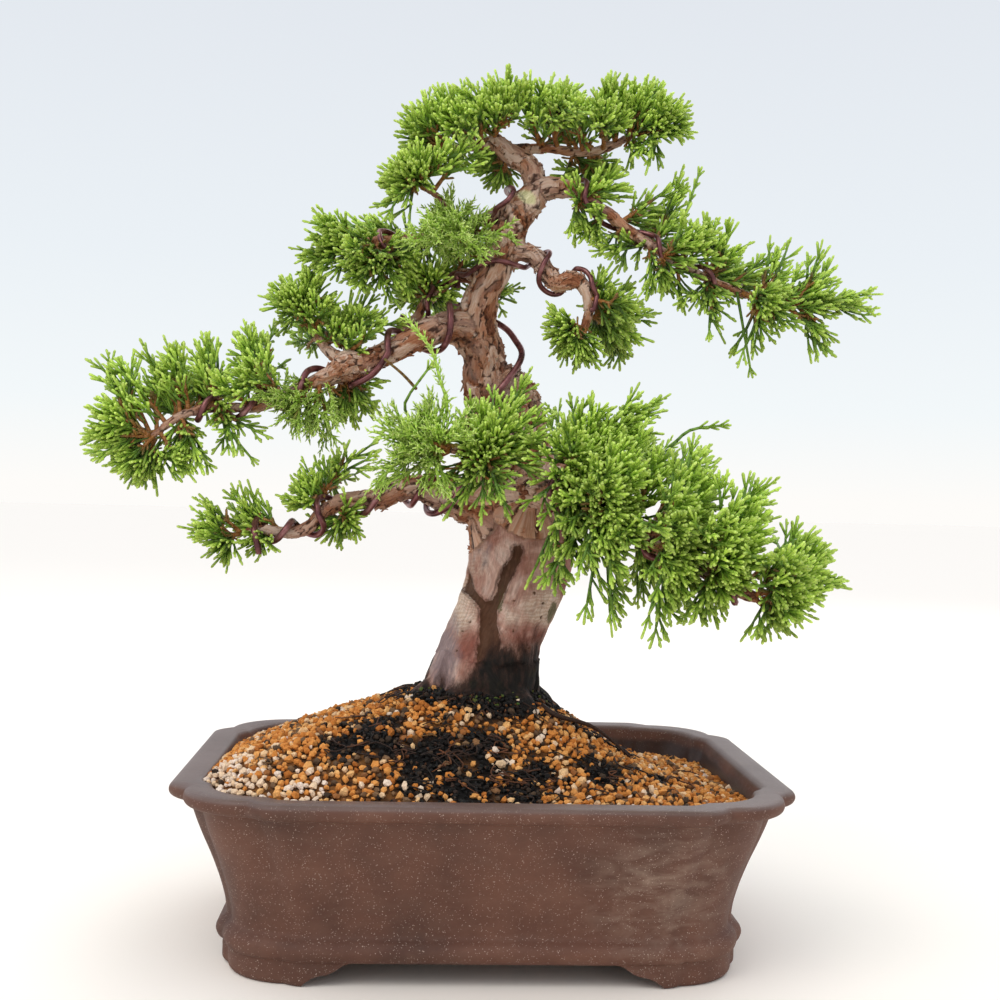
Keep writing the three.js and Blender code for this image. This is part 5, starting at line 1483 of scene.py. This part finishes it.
def stretch_shape():
    """A straight stretch of stem along +Z, 1 mm long and of 1 mm radius, a little thinner at its end."""
    bm = bmesh.new()
    youth = bm.verts.layers.float.new("youth")
    for v in bmesh.ops.create_cone(bm, cap_ends=True, segments=THREAD_SIDES, radius1=1, radius2=0.9, depth=1,
                                   matrix=Matrix.Translation((0, 0, 0.5)))["verts"]:
        v[youth] = v.co.z
    return ready_shape(bm)


SHAPE_DRAW = random.Random(70)
THREADS = {length: [thread_shape(length, stubs, SHAPE_DRAW) for stubs in counts]
           for length, counts in THREAD_STUBS.items()}
NEEDLES = {length: [needle_shape(length, SHAPE_DRAW) for _ in range(3)] for length in THREAD_STUBS}
STRETCH = stretch_shape()


def place_in(run, share):
    """The place at a share of the way along a run of places, and the step that it lies on."""
    steps = len(run) - 1
    spot = min(int(share * steps), steps - 1)
    return run[spot].lerp(run[spot + 1], share * steps - spot), run[spot + 1] - run[spot]


class Spray:
    """The mesh of one tuft while it grows, and what its threads are like."""

    def __init__(self, name, young):
        self.bm = bmesh.new()
        self.youth, self.shade = float_layers(self.bm, "youth", "shade")
        self.draw = random.Random(name)
        self.threads = NEEDLES if young else THREADS

    def add(self, shape, place, youth, shade):
        """Stamps a ready shape, its youth running between two values from foot to tip."""
        low, high = youth
        for v in stamp(self.bm, shape, place):
            v[self.youth] = low + (high - low) * v[self.youth]
            v[self.shade] = shade

    def stretch(self, start, end, radius, youth, shade):
        """A straight stretch of stem between two places."""
        along = end - start
        size = Matrix.Diagonal((radius, radius, along.length, 1))
        self.add(STRETCH, aimed(start, along) @ size, youth, shade)

    def thread(self, root, way, length, youth, shade, fan=None):
        """A thread, its stubs spread along fan, or at random without one."""
        nearest = min(self.threads, key=lambda ready: abs(ready - length))
        lean = fan if fan is not None else turned_off(way, 1.5, self.draw.uniform(0, TURN))
        size = Matrix.Scale(min(max(length / nearest, 0.85), 1.15), 4)
        self.add(self.draw.choice(self.threads[nearest]), aimed(root, way, lean) @ size, (youth, 1.0), shade)

    def branchlet(self, root, way, length, youth, shade, bare):
        """A straight side twig, all green, with long threads to both sides that run forward with it."""
        draw = self.draw
        knee = root + way * length * KNEE
        fan = turned_off(way, 1.57, draw.uniform(0, TURN))
        bent = (way + fan * draw.uniform(-0.12, 0.12) + Vector((0, 0, draw.uniform(0, 0.18)))).normalized()
        end = knee + bent * length * PAST_KNEE
        self.stretch(root, knee + way * 0.2, 0.92 * THREAD_RADIUS, (youth - 0.1, youth + 0.1), shade)
        self.stretch(knee, end, 0.85 * THREAD_RADIUS, (youth + 0.1, youth + 0.3), shade)
        count = max(2, round(length * (1 - bare) / THREAD_SPACING))
        for j in range(count):
            share = bare + (1 - bare) * (j + draw.uniform(0.15, 0.75)) / count
            side = 1 if j % 2 else -1
            base, along = knee.lerp(end, (share - KNEE) / PAST_KNEE), bent
            if share < KNEE:
                base, along = root.lerp(knee, share / KNEE), way
            lift = along.cross(fan) * draw.uniform(-0.22, 0.22)
            out = (along + fan * side * draw.uniform(0.3, 0.62) + lift).normalized()
            span = (4.8 + 0.62 * length * (1 - share)) * draw.uniform(0.75, 1.3)
            self.thread(base, out, span, youth + 0.1 * share, shade, fan)
        self.thread(end, bent, draw.uniform(4.6, 8.2), youth + 0.2, shade, fan)

    def shoot(self, root, stem_way, tip, half_width, fullness, flow):
        """A leafy shoot: a bent brown stem that turns green, with branchlets on all sides of it."""
        draw = self.draw
        reach = (tip - root).length
        bulge = root + stem_way * reach * 0.4
        stem = [arc_point(root, bulge, tip, i / STEM_STEPS) for i in range(STEM_STEPS + 1)]
        tone = draw.uniform(0.3, 0.7)
        for i, (a, b) in enumerate(zip(stem, stem[1:])):
            youth = (max(0.0, 0.2 * i - 0.7), max(0.0, 0.2 * i - 0.5))
            self.stretch(a, b + (b - a) * 0.08, TWIG_RADIUS * (1.15 - 0.09 * i), youth, 0.5)
        count = max(5, round(reach * fullness / BRANCHLET_SPACING))
        turn = draw.uniform(0, TURN)
        for i in range(count):
            t = 0.06 + 0.92 * (i + draw.random() * 0.8) / count
            base, along = place_in(stem, t)
            turn += GOLDEN_TURN + draw.uniform(-0.5, 0.5)
            way = turned_off(along.normalized(), math.radians(draw.uniform(22, 52) * (1.1 - 0.45 * t)), turn)
            rising = way.z
            way = (way + flow + Vector((0, 0, RISE))).normalized()
            length = half_width * draw.uniform(0.7, 1.3) * (1.35 - 0.85 * t) + 1.5
            # twigs that point up get painted light, lighter and paler; those that point down, painted shade
            shade = min(max(tone + 0.32 * rising + draw.uniform(-0.24, 0.24), 0), 1)
            youth = 0.26 + 0.14 * t + 0.1 * rising
            self.branchlet(base, way, length, max(youth, 0.2), shade, draw.uniform(0.15, 0.45))
        self.branchlet(tip, (stem[-1] - stem[-2]).normalized(), 3.5, 0.45, tone + 0.1, 0.2)
        for _ in range(DEAD_THREADS):
            base, along = place_in(stem, draw.uniform(0.05, 0.7))
            way = turned_off(along, draw.uniform(0.4, 1.2), draw.uniform(0, TURN))
            dry = draw.uniform(0.0, 0.12)
            self.add(draw.choice(THREADS[5.5]), aimed(base, way) @ Matrix.Scale(draw.uniform(0.6, 1.1), 4),
                     (dry, dry + 0.06), draw.uniform(0.3, 1.0))


def cad_root(name, branch):
    """The foot of a tuft's packed stem: its corners nearest to the branch that bears it."""
    run = curve_through(BRANCHES[branch], 4)
    tree = tree_of([place for place, _ in run])
    corners = [TO_MM @ v.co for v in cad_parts[name].data.vertices]
    ranked = sorted(corners, key=lambda p: tree.find(p)[2] - run[tree.find(p)[1]][1])
    return (ranked[0] + ranked[1] + ranked[2]) / 3


def make_tuft(name, branch, index, shoots):
    """One tuft on its branch: its shoots, forked, with further ones between and beside them."""
    young = name in YOUNG_TUFTS
    spray = Spray(name, young)
    fullness = FULLNESS.get(branch, 1.0)
    anchor, _, along = place_on(branch, index)
    flow = along * FLOW.get(branch, USUAL_FLOW)
    root = cad_root("foliage_" + name, branch)
    middle = sum((Vector(s[:3]).normalized() for s in shoots), Vector()).normalized()
    sink = (anchor - root).normalized() * FOOT_RADIUS
    spray.stretch(root + sink, root + middle * 2.5, FOOT_RADIUS, (0, 0), 0.5)
    ends = [(Vector(s[:3]), s[3]) for s in shoots]
    given = len(ends)
    if fullness > EXTRA_SHOOTS_FROM:
        pairs = list(zip(ends, ends[1:] + ends[:1]))[:len(ends) if len(ends) > 2 else 1]
        for (a, wide_a), (b, wide_b) in pairs:
            if a.angle(b) < EXTRA_SHOOT_ANGLE:
                between = (a.normalized() + b.normalized()).normalized() * (a.length + b.length) * 0.46
                ends.append((between, (wide_a + wide_b) / 2))
    ends += [(Vector(s[:3]), s[3]) for s in CLOSING_SHOOTS.get(name, ())]
    draw = spray.draw
    for way, half_width in ends:
        spread = FORK_SPREAD * half_width / way.length
        first = draw.uniform(0, TURN)
        for k in range(FORKS):
            turned = turned_off(way, spread * draw.uniform(0.6, 1.3), first + k * TURN / FORKS)
            reach = way.length * draw.uniform(0.8, 1.04)
            tip = anchor + turned * max(reach - TIP_REACH, 0.35 * reach)
            spray.shoot(root + middle, middle, tip, FORK_WIDTH * half_width, fullness, flow)
    for k in range(SIDE_SHOOTS.get(branch, USUAL_SIDE_SHOOTS)):
        way, half_width = ends[k % given]
        beside, thick, _ = place_on(branch, index + draw.choice((-1, 1)) * draw.uniform(0.3, 0.9))
        turned = turned_off(way, draw.uniform(0.1, 0.45), draw.uniform(0, TURN))
        start = beside + turned * thick * 0.6
        reach = max(way.length * draw.uniform(0.65, 0.95) - TIP_REACH, 6.0)
        spray.shoot(start, turned, start + turned * reach, FORK_WIDTH * half_width, fullness, flow)
    tuft = piece_from(spray.bm, "spray_" + name, YOUNG_LEAF if young else LEAF)
    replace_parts(tuft, "foliage_" + name)


# lone sprigs, as a run of (x, y, z), whether they are young, and how far they are bare
SPRIGS = [
    ([(-17.3, -52, 215), (-17.3, -58, 221), (-20.2, -60, 229), (-23.6, -60, 240), (-31.6, -60, 250)],
     True, 0.3),
    ([(-29.5, -14, 228.4), (-35.4, -22, 233.9), (-42.4, -28, 239)], False, 1.0),
    ([(-31, -20, 214), (-33.8, -30, 221.4), (-25.2, -33, 234.6)], False, 0.75),
    ([(70, -62, 205), (78, -60, 212), (89.6, -60, 214.1)], False, 0.5),
    ([(-110, -21, 214), (-104, -22, 206), (-97, -22, 198)], False, 0.7),
    ([(106, -11, 274), (109, -12, 258), (112.3, -12, 242)], False, 0.75),
    ([(79, -12, 287), (83, -12, 306), (87.8, -12, 322)], False, 0.5),
]


def make_sprigs():
    """The lone sprigs, the young ones as a piece of their own."""
    for young in (False, True):
        spray = Spray("sprigs", young)
        for points, is_young, bare in SPRIGS:
            if is_young != young:
                continue
            run = [place for (place,) in curve_through(points, 3)]
            last = len(run) - 1
            for i, (a, b) in enumerate(zip(run, run[1:])):
                green = 0.3 + 0.3 * i / last if bare < 1 else 0.05
                spray.stretch(a, b + (b - a) * 0.1, 0.75 - 0.2 * i / last, (green, green + 0.1), 0.6)
                if bare < 1 and (i / last >= bare or i == last - 1):
                    fan = turned_off(b - a, 1.57, 0.7)
                    for side in (-1, 1):
                        way = ((b - a).normalized() + fan * side * 0.5).normalized()
                        spray.thread(b, way, 4.4, 0.5, 0.6, fan)
            if bare < 1:
                spray.thread(run[-1], run[-1] - run[-2], 5.0, 0.6, 0.7)
        piece_from(spray.bm, "young_sprigs" if young else "lone_sprigs", YOUNG_LEAF if young else LEAF)


# ================================================================ floor and light
FLOOR_REACH = 12.0
FLOOR_GAP = 0.0002
# soft lights, as (name, place, size, power, colour), and the place that they shine on
LIGHTS = [("key", (-0.8, -0.9, 1.4), 1.0, 9, "#fffaf3"), ("back", (0.6, 1.3, 1.3), 1.0, 5, "#ffffff")]
LIT_PLACE = Vector((0, 0, 0.2))


def add_floor():
    """A wide pale floor just under the pot's feet."""
    bm = bmesh.new()
    bmesh.ops.create_grid(bm, x_segments=1, y_segments=1, size=FLOOR_REACH)
    floor = object_from(bm, "floor")
    pale = {"Base Color": linear("#fcf4ea"), "Roughness": 0.95, "IOR": 1.2}
    floor.data.materials.append(finish_of(new_material("pale_floor")[0], pale))
    floor.location.z = CAD_BOX[0].z - FLOOR_GAP


def add_light():
    """A bright studio sky, two soft lights and a plain view."""
    world = bpy.data.worlds.new("studio")
    world.use_nodes = True
    # a backdrop that is warm white low down and pale blue higher up, under a brighter soft ceiling
    way = node(world, "TexCoord", out="Generated")
    height = node(world, "SeparateXYZ", [way], out="Z")
    backdrop = node(world, "ValToRGB", [height], stops=[
        (0.0, "#fefcf9"), (0.06, "#f3f8fa"), (0.16, "#ebf1f6"), (0.34, "#e2e7ee")])
    ceiling = node(world, "MapRange", [height, 0.4, 0.8, 1.0, 1.5])
    background = world.node_tree.nodes["Background"]
    world.node_tree.links.new(backdrop, background.inputs["Color"])
    world.node_tree.links.new(ceiling, background.inputs["Strength"])
    bpy.context.scene.world = world
    bpy.context.scene.view_settings.view_transform = "Standard"
    for name, place, size, power, colour in LIGHTS:
        data = bpy.data.lights.new(name, "AREA")
        data.size = size
        data.energy = power
        data.color = linear(colour)[:3]
        light = bpy.data.objects.new(name, data)
        light.location = place
        light.rotation_euler = (LIT_PLACE - Vector(place)).to_track_quat("-Z", "Y").to_euler()
        bpy.context.scene.collection.objects.link(light)


# ================================================================ assembly
make_pot()
for screen in ("drain_screen_left", "drain_screen_right"):
    cad_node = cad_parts[screen]
    cad_node.data.materials.clear()
    cad_node.data.materials.append(MESH_PLASTIC)
make_bed()
make_grains()
make_peat()
make_rootlets()
make_flakes(make_wood())
for wire_name in WIRES:
    make_wire(wire_name)
for tuft_name, (branch_name, index_on_it, its_shoots) in TUFTS.items():
    make_tuft(tuft_name, branch_name, index_on_it, its_shoots)
make_sprigs()
add_floor()
add_light()
